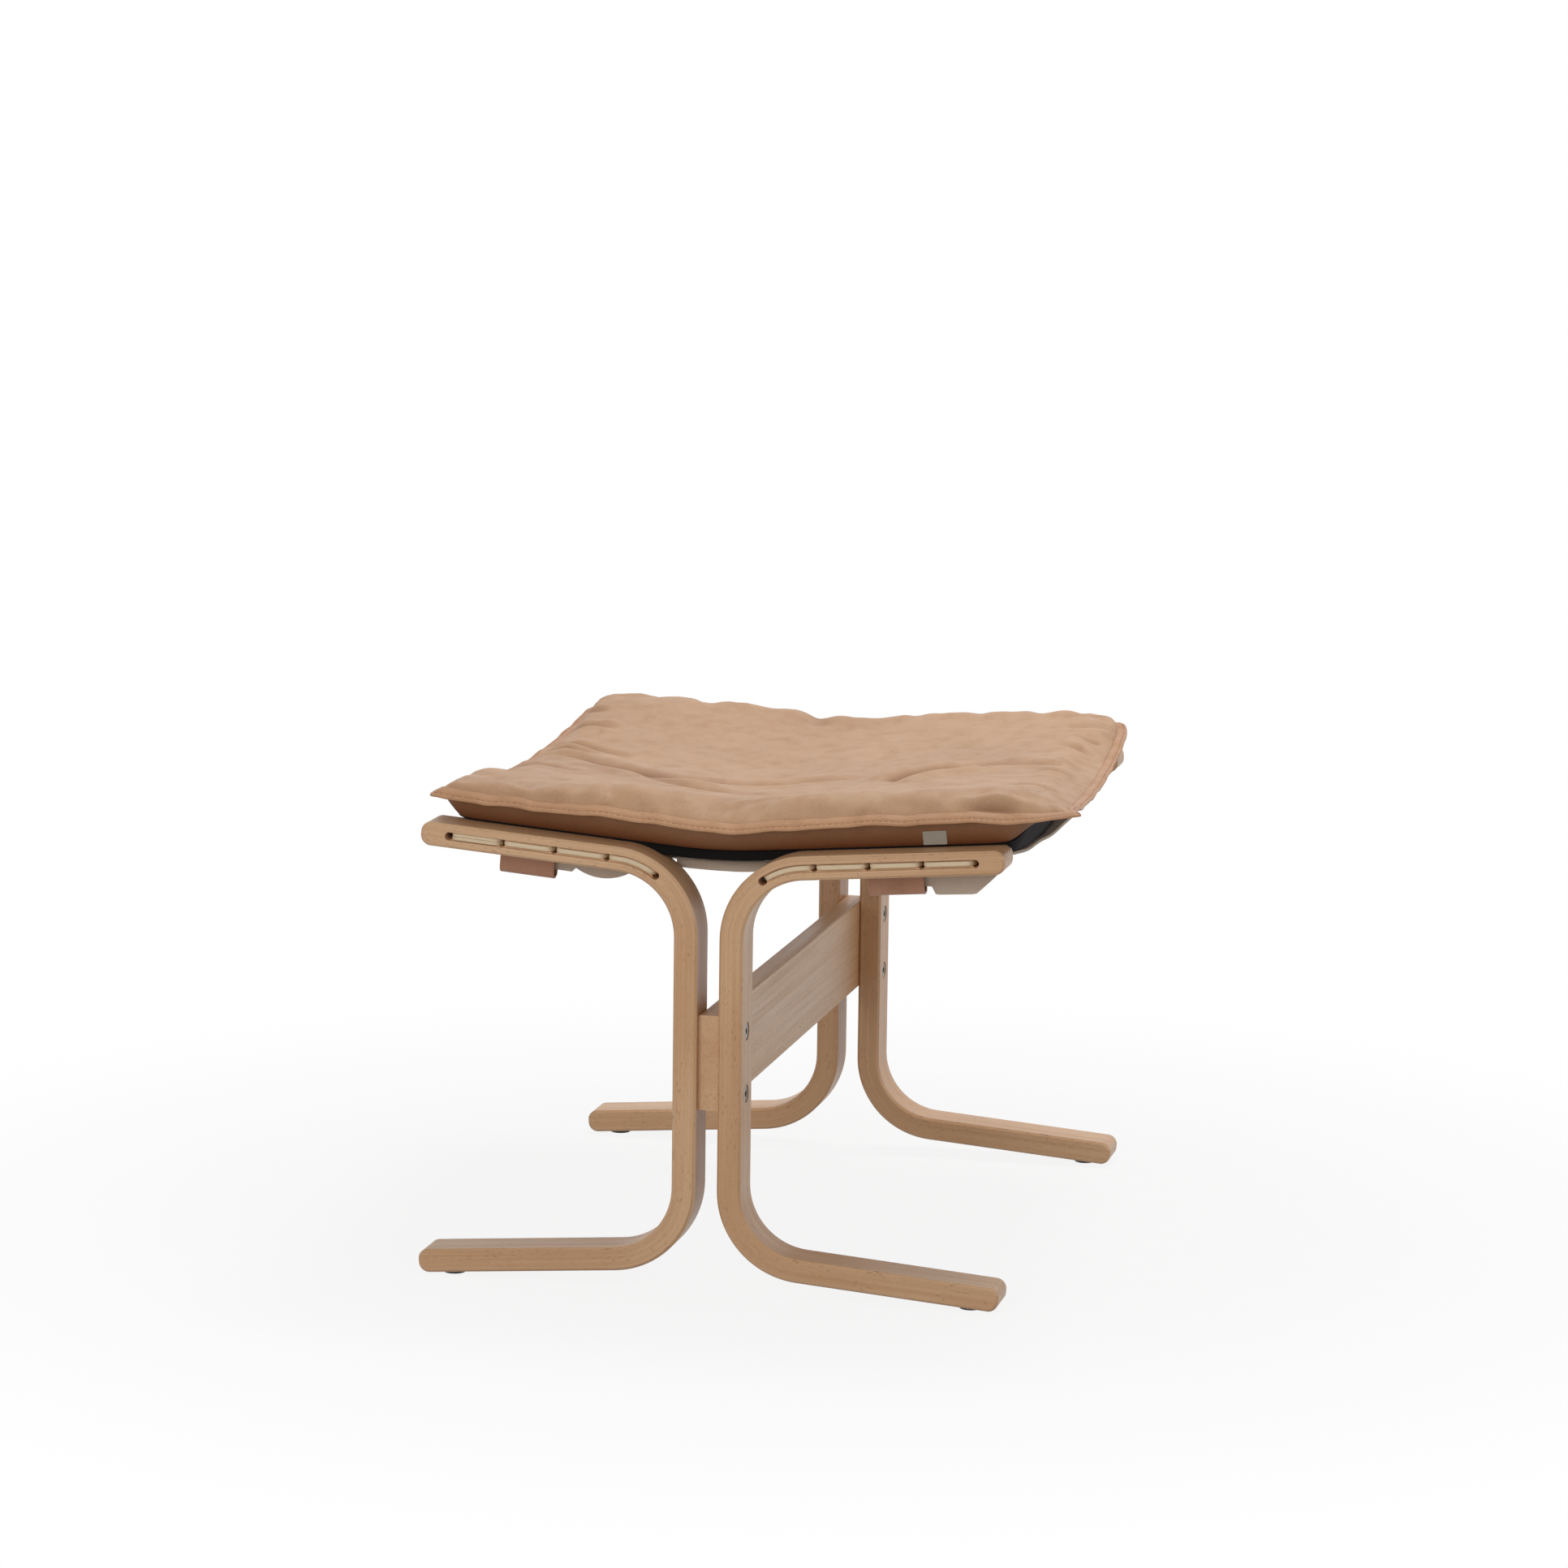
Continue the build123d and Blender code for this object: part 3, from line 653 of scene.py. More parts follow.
def use_group(tree, name, build, **values):
    """Places a group in a material, built at its first use, and gives its outputs."""
    node = tree.nodes.new("ShaderNodeGroup")
    node.node_tree = bpy.data.node_groups.get(name) or build(name)
    fill(tree, node, **values)
    return node.outputs


def new_material(name):
    """A material with a shader; gives the material, its tree and the shader."""
    material = bpy.data.materials.new(name)
    material.use_nodes = True
    tree = material.node_tree
    return material, tree, tree.nodes["Principled BSDF"]


def dress(tree, shader, base, roughness, height, bump, depth, **fixed):
    """Feeds a shader with a colour, a roughness, a bumped normal and fixed values."""
    node = tree.nodes.new("ShaderNodeBump")
    fill(tree, node, Strength=bump, Distance=depth, Height=height)
    fill(tree, shader, Base_Color=base, Roughness=roughness, Normal=node.outputs[0], **fixed)


# Materials


def fibre_group(name):
    """Beech fibre: X of the vector runs along the grain, Y and Z across it."""
    group, source, sink = new_group(
        name, ("Colour", "Roughness", "Height"),
        Vector=None, Colour=tone("beech"), Fleck=tone("fleck"), Fleck_Share=0.5,
    )
    vector, colour = source["Vector"], source["Colour"]
    clouds = grain_noise(group, vector, (5.0, 22.0, 22.0), 3.0)
    bands = grain_noise(group, vector, (3.5, 260.0, 260.0), 3.0, 0.6)
    pores = grain_noise(group, vector, (110.0, 2400.0, 2400.0), 2.0, 0.6)
    dashes = grain_noise(group, vector, (170.0, 900.0, 900.0), 1.0, 0.4)
    patches = grain_noise(group, vector, (30.0, 90.0, 90.0), 2.0)
    fleck = times(group, ramp(group, dashes, 0.61, 0.70), ramp(group, patches, 0.38, 0.6))
    fleck = times(group, fleck, source["Fleck Share"])
    warm = tinted(group, colour, 0.93, 0.86, 0.80)
    pale = tinted(group, colour, 1.06, 1.06, 1.07)
    base = blend(group, ramp(group, clouds, 0.3, 0.7), warm, pale)
    streak = tinted(group, base, 0.90, 0.86, 0.82)
    base = blend(group, ramp(group, bands, 0.45, 0.68, 0.0, 0.75), base, streak)
    fine = tinted(group, base, 0.86, 0.82, 0.78)
    base = blend(group, ramp(group, pores, 0.52, 0.72, 0.0, 0.7), base, fine)
    rough = calc(group, "MULTIPLY_ADD", pores, -0.6, times(group, fleck, -0.8))
    fill(
        group, sink, Colour=blend(group, fleck, base, source["Fleck"]),
        Roughness=ramp(group, bands, 0.3, 0.7, 0.36, 0.48), Height=calc(group, "ADD", rough, bands),
    )
    return group


def bent_vector(tree):
    """Coordinates that follow a bent lamination: along it, across it and through its thickness."""
    slope = sizes().arm_slope
    middle_z, half_height = 0.1988, 0.1081
    side_shift, end_shift = 1.37, 2.71
    parts = axes(tree, coordinates(tree))
    from_middle = calc(tree, "SUBTRACT", parts[0], middle_x)
    from_centre = calc(tree, "SUBTRACT", parts[2], middle_z)
    rise = calc(tree, "ABSOLUTE", from_centre)
    inward = calc(tree, "SUBTRACT", bend_centre(), calc(tree, "ABSOLUTE", from_middle))
    above = calc(tree, "MAXIMUM", calc(tree, "SUBTRACT", rise, half_height), 0.0)
    onward = calc(tree, "ADD", times(tree, inward, -cos(slope)), times(tree, above, sin(slope)))
    onward = calc(tree, "MAXIMUM", onward, 0.0)
    turn = calc(tree, "MINIMUM", calc(tree, "ARCTAN2", above, inward), pi / 2 - slope)
    along = calc(tree, "ADD", calc(tree, "MINIMUM", rise, half_height), onward)
    along = calc(tree, "MULTIPLY_ADD", turn, sizes().bend_radius, along)
    along = times(tree, along, calc(tree, "SIGN", from_centre))
    squares = calc(tree, "MULTIPLY_ADD", inward, inward, times(tree, above, above))
    squares = calc(tree, "SUBTRACT", squares, times(tree, onward, onward))
    through = calc(tree, "SQRT", calc(tree, "MAXIMUM", squares, 0.0))
    leg_offset = times(tree, calc(tree, "SIGN", from_middle), side_shift)
    leg_offset = calc(tree, "MULTIPLY_ADD", calc(tree, "SIGN", parts[1]), end_shift, leg_offset)
    along = calc(tree, "ADD", along, leg_offset)
    return put(tree, "ShaderNodeCombineXYZ", along, parts[1], through).outputs[0]


def board_vector(tree):
    """Grain coordinates of the stretcher, whose grain runs along Y."""
    parts = axes(tree, coordinates(tree))
    return put(tree, "ShaderNodeCombineXYZ", parts[1], parts[2], parts[0]).outputs[0]


def beech_material(name, vector_of, plies):
    """Lacquered beech on a grain vector, with faint glue lines where it is laminated."""
    material, tree, shader = new_material(name)
    vector = vector_of(tree)
    fibre = use_group(
        tree, "Beech fibre", fibre_group,
        Vector=vector, Colour=tone("beech"), Fleck=tone("fleck"), Fleck_Share=0.55,
    )
    base = fibre["Colour"]
    if plies:
        parts = axes(tree, vector)
        layer = times(tree, parts[2], plies / sizes().lamination)
        ply = calc(tree, "FLOOR", layer)
        seed = put(tree, "ShaderNodeCombineXYZ", ply, times(tree, parts[0], 2.0), 0.0).outputs[0]
        own = grain_noise(tree, seed, 1.7, 1.0)
        tint = tinted(tree, base, 0.93, 0.90, 0.88)
        base = blend(tree, ramp(tree, own, 0.4, 0.62, 0.0, 0.8), base, tint)
        edge = calc(tree, "ABSOLUTE", calc(tree, "SUBTRACT", calc(tree, "FRACT", layer), 0.5))
        base = blend(tree, ramp(tree, edge, 0.42, 0.5, 0.0, 0.35), base, tone("fleck"))
    dress(
        tree, shader, base, fibre["Roughness"], fibre["Height"], 0.12, 0.0004,
        Coat_Weight=0.12, Coat_Roughness=0.35, Specular_IOR_Level=0.4,
    )
    return material


def leather_group(name):
    """Leather: fine pebbles, clouded colour and hair creases."""
    group, source, sink = new_group(
        name, ("Colour", "Roughness", "Height"),
        Vector=None, Colour=tone("leather"), Shade=tone("leather_clouds_and_painted_shade"), Pebble_Scale=900.0,
    )
    vector, pebble = source["Vector"], source["Pebble Scale"]
    wander = grain_noise(group, vector, 60.0, 2.0)
    clouds = grain_noise(group, vector, 7.0, 4.0, 0.55)
    mottle = grain_noise(group, vector, 55.0, 4.0, 0.6)
    gaps = cell_gaps(group, vector, pebble)
    hair = cell_gaps(group, scaled(group, vector, (1.0, 1.6, 1.3)), times(group, pebble, 0.22))
    hair_line = ramp(group, hair, 0.0, 0.07, 1.0, 0.0)
    hair_line = times(group, hair_line, ramp(group, wander, 0.45, 0.65))
    base = source["Colour"]
    for share in (
        ramp(group, clouds, 0.35, 0.72, 0.0, 0.16), ramp(group, mottle, 0.45, 0.75, 0.0, 0.12),
        ramp(group, gaps, 0.0, 0.12, 0.12, 0.0), times(group, hair_line, 0.22),
    ):
        base = blend(group, share, base, source["Shade"])
    height = calc(group, "MULTIPLY_ADD", hair_line, -0.9, ramp(group, gaps, 0.0, 0.22))
    fill(
        group, sink, Colour=base, Roughness=ramp(group, mottle, 0.3, 0.7, 0.46, 0.60),
        Height=calc(group, "MULTIPLY_ADD", mottle, 1.2, height),
    )
    return group


def leather_material(name, colour_name, pebble, bump, with_painted_shade=False):
    """Leather in one of the stool's colours, with painted shade mixed in where the piece carries
    painted_shade values: in its creases and on its boxing.
    """
    material, tree, shader = new_material(name)
    shade = tone("leather_clouds_and_painted_shade")
    grain = use_group(
        tree, "Leather grain", leather_group,
        Vector=coordinates(tree), Colour=tone(colour_name), Shade=shade, Pebble_Scale=pebble,
    )
    base = grain["Colour"]
    # Painted shade: the dark leather colour is mixed in by per-point values. They stand in for the
    # shadow in the creases and under the flange on the boxing.
    if with_painted_shade:
        painted_shade = put(tree, "ShaderNodeAttribute", attribute_name="painted_shade").outputs["Fac"]
        base = blend(tree, times(tree, painted_shade, 0.80), base, shade)
    dress(
        tree, shader, base, grain["Roughness"], grain["Height"], bump, 0.0004,
        Sheen_Weight=0.08, Sheen_Roughness=0.4, Specular_IOR_Level=0.35,
    )
    return material


def weave_group(name):
    """Plain weave: X and Y of the vector count threads."""
    group, source, sink = new_group(
        name, ("Colour", "Height"), Vector=None, Colour=tone("canvas"), Gap_Share=0.5
    )
    vector, colour = source["Vector"], source["Colour"]
    parts = axes(group, vector)
    over = calc(group, "ADD", calc(group, "FLOOR", parts[0]), calc(group, "FLOOR", parts[1]))
    over = calc(group, "MODULO", calc(group, "ABSOLUTE", over), 2.0)
    threads = []
    for axis, shown in ((0, over), (1, calc(group, "SUBTRACT", 1.0, over))):
        wave = calc(group, "ABSOLUTE", calc(group, "SINE", times(group, parts[axis], pi)))
        threads.append(times(group, wave, calc(group, "MULTIPLY_ADD", shown, 0.6, 0.4)))
    height = calc(group, "MAXIMUM", *threads)
    slub = grain_noise(group, vector, (0.05, 0.9, 1.0))
    cloud = grain_noise(group, vector, 0.02, 3.0)
    dark = tinted(group, colour, 0.72, 0.68, 0.63)
    gap = times(group, ramp(group, height, 0.35, 0.8, 1.0, 0.0), source["Gap Share"])
    base = blend(group, gap, colour, dark)
    base = blend(group, ramp(group, slub, 0.45, 0.7, 0.0, 0.35), base, dark)
    base = blend(group, ramp(group, cloud, 0.4, 0.7, 0.0, 0.25), base, dark)
    fill(group, sink, Colour=base, Height=calc(group, "MULTIPLY_ADD", slub, 0.4, height))
    return group


def weave_material(name, colour_name, threads, bump, sheen):
    """Woven cloth on the piece's own map, with counts of threads across and along the map."""
    material, tree, shader = new_material(name)
    counted = scaled(tree, coordinates(tree, "UV"), (*threads, 1.0))
    weave = use_group(
        tree, "Plain weave", weave_group, Vector=counted, Colour=tone(colour_name), Gap_Share=0.5
    )
    dress(
        tree, shader, weave["Colour"], 0.9, weave["Height"], bump, 0.0003,
        Sheen_Weight=sheen, Specular_IOR_Level=0.15,
    )
    return material


def cord_material():
    """Waxed cord: fine plaited ridges on the piece's own map."""
    material, tree, shader = new_material("Waxed cord")
    plaits_along, plaits_around = 46.0, 8.0
    parts = axes(tree, coordinates(tree, "UV"))
    along, around = times(tree, parts[0], plaits_along), times(tree, parts[1], plaits_around)
    ridges = [
        calc(tree, "SINE", times(tree, calc(tree, way, along, around), 2 * pi))
        for way in ("ADD", "SUBTRACT")
    ]
    plait = calc(tree, "MAXIMUM", *ridges)
    fuzz = grain_noise(tree, coordinates(tree), 900.0, 3.0)
    dark = tinted(tree, tone("cord"), 0.66, 0.60, 0.50)
    base = blend(tree, ramp(tree, plait, -0.2, 0.7, 0.6, 0.0), tone("cord"), dark)
    base = blend(tree, ramp(tree, fuzz, 0.5, 0.75, 0.0, 0.3), base, dark)
    dress(tree, shader, base, 0.7, calc(tree, "MULTIPLY_ADD", fuzz, 0.3, plait), 0.4, 0.0003)
    return material


def steel_material():
    """Zinc-plated steel with fine turning marks and dull spots."""
    material, tree, shader = new_material("Plated steel")
    vector = coordinates(tree)
    spots = grain_noise(tree, vector, 220.0, 4.0)
    marks = grain_noise(tree, vector, (60.0, 1600.0, 1600.0))
    dull = tinted(tree, tone("steel"), 0.62, 0.60, 0.58)
    base = blend(tree, ramp(tree, spots, 0.42, 0.68), tone("steel"), dull)
    polish = ramp(tree, spots, 0.3, 0.7, 0.28, 0.46)
    dress(tree, shader, base, polish, marks, 0.15, 0.0002, Metallic=1.0)
    return material


def glide_material():
    """Moulded plastic with a fine spark-eroded skin and scuffs."""
    material, tree, shader = new_material("Moulded glide")
    vector = coordinates(tree)
    skin = grain_noise(tree, vector, 1800.0)
    scuff = grain_noise(tree, vector, (300.0, 90.0, 500.0), 3.0)
    pale = tinted(tree, tone("glide"), 1.9, 1.85, 1.75)
    base = blend(tree, ramp(tree, scuff, 0.55, 0.75, 0.0, 0.5), tone("glide"), pale)
    dress(tree, shader, base, ramp(tree, scuff, 0.4, 0.7, 0.5, 0.68), skin, 0.2, 0.0002)
    return material



# Pieces


def make_frame():
    """Dresses the wooden parts of the frame."""
    bent = beech_material("Bent beech", bent_vector, lamination_plies)
    for side in side_signs:
        dress_node(f"leg_{side}", bent)
    dress_node("stretcher", beech_material("Beech board", board_vector, 0))


def make_fittings():
    """Dresses the steel fittings and the glides."""
    steel, plastic = steel_material(), glide_material()
    for node in ("connector_bolts", "sleeve_nuts", "strap_studs"):
        dress_node(node, steel)
    for side in side_signs:
        dress_node(f"hem_rod_{side}", steel)
        dress_node(f"glide_{side}", plastic)


def line_distance(x, y, corners):
    """Distance of points from a row of corners, and their share of the way along it."""
    nearest = np.full(x.shape, 9.0)
    way = np.zeros(x.shape)
    count = len(corners) - 1
    for index in range(count):
        (x0, y0), (x1, y1) = corners[index], corners[index + 1]
        dx, dy = x1 - x0, y1 - y0
        share = np.clip(((x - x0) * dx + (y - y0) * dy) / (dx * dx + dy * dy), 0, 1)
        away = np.hypot(x - x0 - share * dx, y - y0 - share * dy)
        closer = away < nearest
        nearest = np.where(closer, away, nearest)
        way = np.where(closer, (index + share) / count, way)
    return nearest, way


# Creases in the cushion's top: depth, half width, and the corners of its line
creases = (
    (0.0070, 0.010, ((-0.225, 0.006), (-0.187, -0.010), (-0.139, -0.048), (-0.089, -0.069),
                     (-0.047, -0.059), (-0.008, -0.037), (0.024, -0.018), (0.067, -0.011))),
    (0.0030, 0.008, ((-0.139, -0.044), (-0.100, -0.092), (-0.050, -0.110), (0.020, -0.112))),
    (0.0130, 0.009, ((0.096, -0.040), (0.110, -0.022), (0.130, 0.004), (0.158, 0.030))),
    (0.0040, 0.009, ((0.140, 0.024), (0.170, 0.036), (0.205, 0.040), (0.240, 0.036))),
    (0.0080, 0.004, ((0.212, -0.283), (0.228, -0.281), (0.246, -0.281), (0.262, -0.283))),
    (0.0036, 0.006, ((-0.262, 0.080), (-0.220, 0.058), (-0.184, 0.038), (-0.150, 0.030))),
    (0.0032, 0.006, ((-0.262, 0.148), (-0.222, 0.133), (-0.190, 0.128))),
    (0.0030, 0.005, ((-0.250, 0.197), (-0.215, 0.176))),
    (0.0030, 0.005, ((-0.255, 0.036), (-0.215, 0.032), (-0.180, 0.018))),
    (0.0026, 0.005, ((-0.250, -0.060), (-0.215, -0.075), (-0.170, -0.095))),
    (0.0034, 0.005, ((0.276, -0.258), (0.250, -0.215), (0.214, -0.190))),
    (0.0030, 0.004, ((0.272, -0.225), (0.238, -0.180), (0.220, -0.150))),
    (0.0032, 0.005, ((0.270, -0.175), (0.240, -0.150), (0.215, -0.145))),
    (0.0030, 0.004, ((0.268, -0.135), (0.235, -0.118), (0.210, -0.118))),
    (0.0028, 0.005, ((0.265, -0.085), (0.228, -0.072))),
    (0.0028, 0.004, ((0.263, -0.045), (0.225, -0.035))),
    (0.0030, 0.005, ((0.262, -0.006), (0.225, 0.002))),
    (0.0026, 0.004, ((0.260, 0.045), (0.228, 0.060))),
    (0.0028, 0.005, ((0.258, 0.110), (0.222, 0.122))),
    (0.0026, 0.004, ((0.256, 0.160), (0.226, 0.160))),
    (0.0030, 0.006, ((0.254, 0.205), (0.214, 0.190))),
    (0.0026, 0.006, ((0.240, 0.258), (0.205, 0.225))),
    (0.0038, 0.011, ((-0.032, 0.280), (-0.030, 0.245), (-0.022, 0.215))),
    (0.0012, 0.007, ((0.060, 0.279), (0.066, 0.240))),
    (0.0017, 0.008, ((0.118, 0.278), (0.126, 0.240))),
    (0.0012, 0.008, ((0.186, 0.276), (0.182, 0.236))),
    (0.0016, 0.010, ((-0.140, 0.276), (-0.128, 0.236))),
    (0.0010, 0.010, ((-0.080, 0.276), (-0.074, 0.240))),
    (0.0022, 0.006, ((-0.013, -0.276), (0.000, -0.252), (0.030, -0.238))),
    (0.0020, 0.005, ((0.000, -0.276), (0.022, -0.256), (0.055, -0.246))),
    (0.0022, 0.006, ((0.030, -0.274), (0.050, -0.250), (0.085, -0.240))),
    (0.0018, 0.006, ((-0.095, -0.274), (-0.090, -0.244))),
    (0.0018, 0.006, ((-0.170, -0.272), (-0.160, -0.240))),
)


def crease_depth(x, y):
    """Rise of the top by its creases at plan points, with a ridge beside each, and the painted shade
    for each crease's far flank.
    """
    ridge_share, ridge_place, ridge_width = 0.45, 2.1, 1.1
    shade_shift, shade_width, full_shade = 0.45, 0.75, 0.006
    rise, dark = np.zeros(x.shape), np.zeros(x.shape)
    for depth, width, corners in creases:
        away, way = line_distance(x, y, corners)
        fade = np.clip(np.sin(pi * way), 0, 1) ** 0.5
        groove = np.exp(-((away / width) ** 2)) * fade
        ridge = np.exp(-(((away - ridge_place * width) / (ridge_width * width)) ** 2)) * fade
        rise += depth * (ridge_share * ridge - groove)
        # Painted shade: shifted onto each crease's far flank, where the shadow in the crease falls.
        away, way = line_distance(x, y - shade_shift * width, corners)
        fade = np.clip(np.sin(pi * way), 0, 1) ** 0.8
        shade = depth / full_shade * np.exp(-((away / (shade_width * width)) ** 2)) * fade
        dark = np.maximum(dark, shade)
    return rise, dark


def seam_puckers(x, y):
    """Small gathers across the seams, which fade out towards the middle."""
    height, fade_run, start = 0.00085, 0.020, 0.006
    spans = (0.013, 0.019, 0.027, 0.041)
    ends = np.minimum(*end_distances(x, y))
    sides = sizes().cushion_depth - np.abs(y)
    rise = np.zeros(x.shape)
    for distance, run, offset in ((sides, x, np.sign(y)), (ends, y, 3 * np.sign(x))):
        wave = np.zeros(x.shape)
        for index, span in enumerate(spans):
            drift = 0.9 * np.sin(run / 0.053 + offset * 1.7 + index)
            wave += span / spans[-1] * np.sin(2 * pi * run / span + 2.1 * index + offset + drift)
        fade = np.exp(-np.clip(distance, 0, 1) / fade_run) * smooth(distance / start)
        rise += height * wave * fade
    return rise


def soft_noise(x, y):
    """Slow unevenness of the stuffing."""
    layers = ((0.0024, 0.075, 0.060, 3.1), (0.0004, 0.026, 0.020, 7.7))
    rise = []
    for here_x, here_y in zip(x, y):
        rise.append(sum(
            height * noise.noise(Vector((here_x / long, here_y / wide, level)))
            for height, long, wide, level in layers
        ))
    return np.array(rise)


def stuff(piece, free, inner):
    """Lets the leather swell over its filling, held at the seams, and limits how far it moves."""
    before = read_points(piece)
    pins = piece.vertex_groups.new(name="sewn")
    pins.add([int(index) for index in np.flatnonzero(~free)], 1.0, "REPLACE")
    cloth = piece.modifiers.new("Cloth", "CLOTH")
    settings = {
        "vertex_group_mass": "sewn", "quality": 6, "mass": 0.4, "tension_stiffness": 18,
        "compression_stiffness": 12, "bending_stiffness": 1.2, "shrink_min": -0.025,
        "use_pressure": True, "uniform_pressure_force": sizes().pressure,
    }
    for name, value in settings.items():
        setattr(cloth.settings, name, value)
    cloth.settings.effector_weights.gravity = 0
    scene = bpy.context.scene
    last_step = 22
    for step in range(1, last_step + 1):
        scene.frame_set(step)
    choose(piece)
    bpy.ops.object.modifier_apply(modifier=cloth.name)
    scene.frame_set(1)
    moved = read_points(piece) - before
    reach = np.maximum(np.linalg.norm(moved, axis=1, keepdims=True), 1e-9)
    limit = sizes().swell_limit
    moved = moved / reach * limit * np.tanh(reach / limit)
    moved[:, 2] -= 0.8 * (inner * free) * moved[free, 2].mean()
    write_points(piece, before + moved)
    piece.vertex_groups.clear()


def make_cushion():
    """The leather cushion: a crowned top, boxing drawn in below the seam, and an underside."""
    piece = add_grid("leather_cushion", sizes().cushion_cells, sizes().cushion_cells)
    edit(piece)
    bpy.ops.transform.translate(value=(0, 0, 1))
    bpy.ops.mesh.duplicate_move(TRANSFORM_OT_translate={"value": (0, 0, -2)})
    bpy.ops.mesh.flip_normals()
    bpy.ops.mesh.select_all(action="DESELECT")
    bpy.ops.mesh.select_mode(type="EDGE")
    bpy.ops.mesh.select_non_manifold()
    bpy.ops.mesh.bridge_edge_loops(number_cuts=3)
    stop_edit()
    across, along, level = read_points(piece).T
    x, y, z = boxing_point(across, along, (1 - level) / 2)
    top = level > 0.99
    place(piece, x, y, np.where(top, leather_height(across, along), z))
    rim = np.maximum(np.abs(across), np.abs(along))
    inner = smooth((1 - rim) / 0.06)
    face_out(piece)
    stuff(piece, top & (rim < 0.999), inner)
    # Painted shade on the boxing: from seam_shade at the seam, darker towards the foot, where the
    # flange shades it.
    seam_shade, shade_slope = 0.55, 0.35
    write_values(piece, "drop", (seam_shade + shade_slope * (1 - level)) * ~top)
    write_values(piece, "crown", top * inner)
    subdivide(piece, 2)
    points = read_points(piece)
    painted_boxing_shade, weight = take_values(piece, "drop"), take_values(piece, "crown")
    x, y = points[:, 0] - middle_x, points[:, 1]
    rise, dark = crease_depth(x, y)
    points[:, 2] += weight * (rise + soft_noise(x, y) + seam_puckers(x, y))
    write_points(piece, points)
    # Painted shade of the creases, kept off the rim, joined with the painted shade of the boxing.
    shade = np.clip(4 * weight, 0, 1) * np.clip(0.6 * dark, 0, 1)
    write_values(piece, "painted_shade", np.maximum(shade, painted_boxing_shade))
    leather = leather_material("Cushion leather", "leather", 900.0, 0.35, with_painted_shade=True)
    finish_piece(piece, leather)
    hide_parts("cushion_cover", "cushion_filling")


def rim_stations(count):
    """Stations round the cushion's rim, as (across, along) pairs."""
    stations = []
    for side in range(4):
        for step in range(count):
            share = -1 + 2 * step / count
            stations.append([(share, -1), (1, share), (-share, 1), (-1, -share)][side])
    return np.array(stations, float)


def rim_frames(count):
    """Centres, outward steps and upward directions round the rim, with stations along each side."""
    across, along = rim_stations(count).T
    x, y = cushion_plan(across, along)
    out_x, out_y = outward(across, along)
    run = np.arange(len(x)) * 2 * pi / len(x)
    wave = 0.00055 * np.sin(31 * run) + 0.0005 * np.sin(53 * run + 1.0) + 0.0003 * np.sin(97 * run)
    centres = np.column_stack([x, y, leather_height(across, along) + wave])
    far_droop, near_droop = 0.20, 0.55
    near = smooth((-along - 0.9) / 0.1)
    droop = far_droop + near_droop * near * (1 - smooth((across - 0.8) / 0.2))
    outwards = np.column_stack([out_x, out_y, -droop])
    reach = np.hypot(out_x, out_y)
    upwards = np.column_stack([out_x / reach * droop, out_y / reach * droop, np.ones(len(x))])
    return centres, outwards, upwards / np.linalg.norm(upwards, axis=1, keepdims=True)


def make_flange():
    """The stitched flange round the cushion's seam: a folded strip with a stitch groove."""
    width, half = sizes().flange_width, sizes().flange_thickness / 2
    stitch_place, stitch_rise = 0.60, 0.62
    shares = ((-0.25, 0.55), (0.06, 0.70), (0.30, 1.0), (0.48, 0.95), (stitch_place, 0.45),
              (0.72, 0.95), (0.90, 0.85), (1.0, 0.35))
    upper = [(width * run, half * rise) for run, rise in shares]
    lower = [(run, -rise) for run, rise in reversed(upper)]
    centres, across, up = rim_frames(72)
    flange = sweep_piece("flange_leather", centres, across, up, upper + lower, closed=True)
    subdivide(flange, 1)
    finish_piece(flange, leather_material("Flange leather", "flange", 1100.0, 0.3))
    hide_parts("seam_flange")
    stitches = make_stitches(centres, across, up, width * stitch_place, half * stitch_rise)
    finish_piece(stitches, leather_material("Stitch thread", "strap", 2600.0, 0.3))


def make_stitches(centres, across, up, run, rise):
    """Short stitches on both faces of the flange, one shape copied along the rim."""
    stitch_length, stitch_radius, pitch = 0.0036, 0.00042, 0.0054
    deselect()
    bpy.ops.mesh.primitive_cylinder_add(
        vertices=6, radius=stitch_radius, depth=stitch_length, rotation=(0, pi / 2, 0)
    )
    one = bpy.context.object
    bpy.ops.object.transform_apply(location=False, rotation=True, scale=False)
    shape = read_points(one)
    faces = [list(face.vertices) for face in one.data.polygons]
    bpy.data.objects.remove(one)
    line = centres + across * run
    steps = np.roll(line, -1, axis=0) - line
    spans = np.linalg.norm(steps, axis=1)
    marks = np.concatenate([[0], np.cumsum(spans)])
    points, polygons = [], []
    for index in range(int(spans.sum() / pitch)):
        where = (index + 0.5) * pitch
        span = int(np.searchsorted(marks, where)) - 1
        middle = line[span] + steps[span] * ((where - marks[span]) / spans[span])
        way = steps[span] / spans[span]
        side = np.array([way[1], -way[0], 0.0])
        local = shape[:, :1] * way + shape[:, 1:2] * side + shape[:, 2:] * up[span]
        for face_sign in (1, -1):
            base = len(points) * len(shape)
            points.append(local + middle + up[span] * rise * face_sign)
            polygons += [[base + corner for corner in face] for face in faces]
    mesh = bpy.data.meshes.new("seam_stitches")
    mesh.from_pydata(np.vstack(points).tolist(), [], polygons)
    piece = add_object("seam_stitches", mesh)
    place(piece, *read_points(piece).T)
    close_up(piece, 0.0)
    return piece


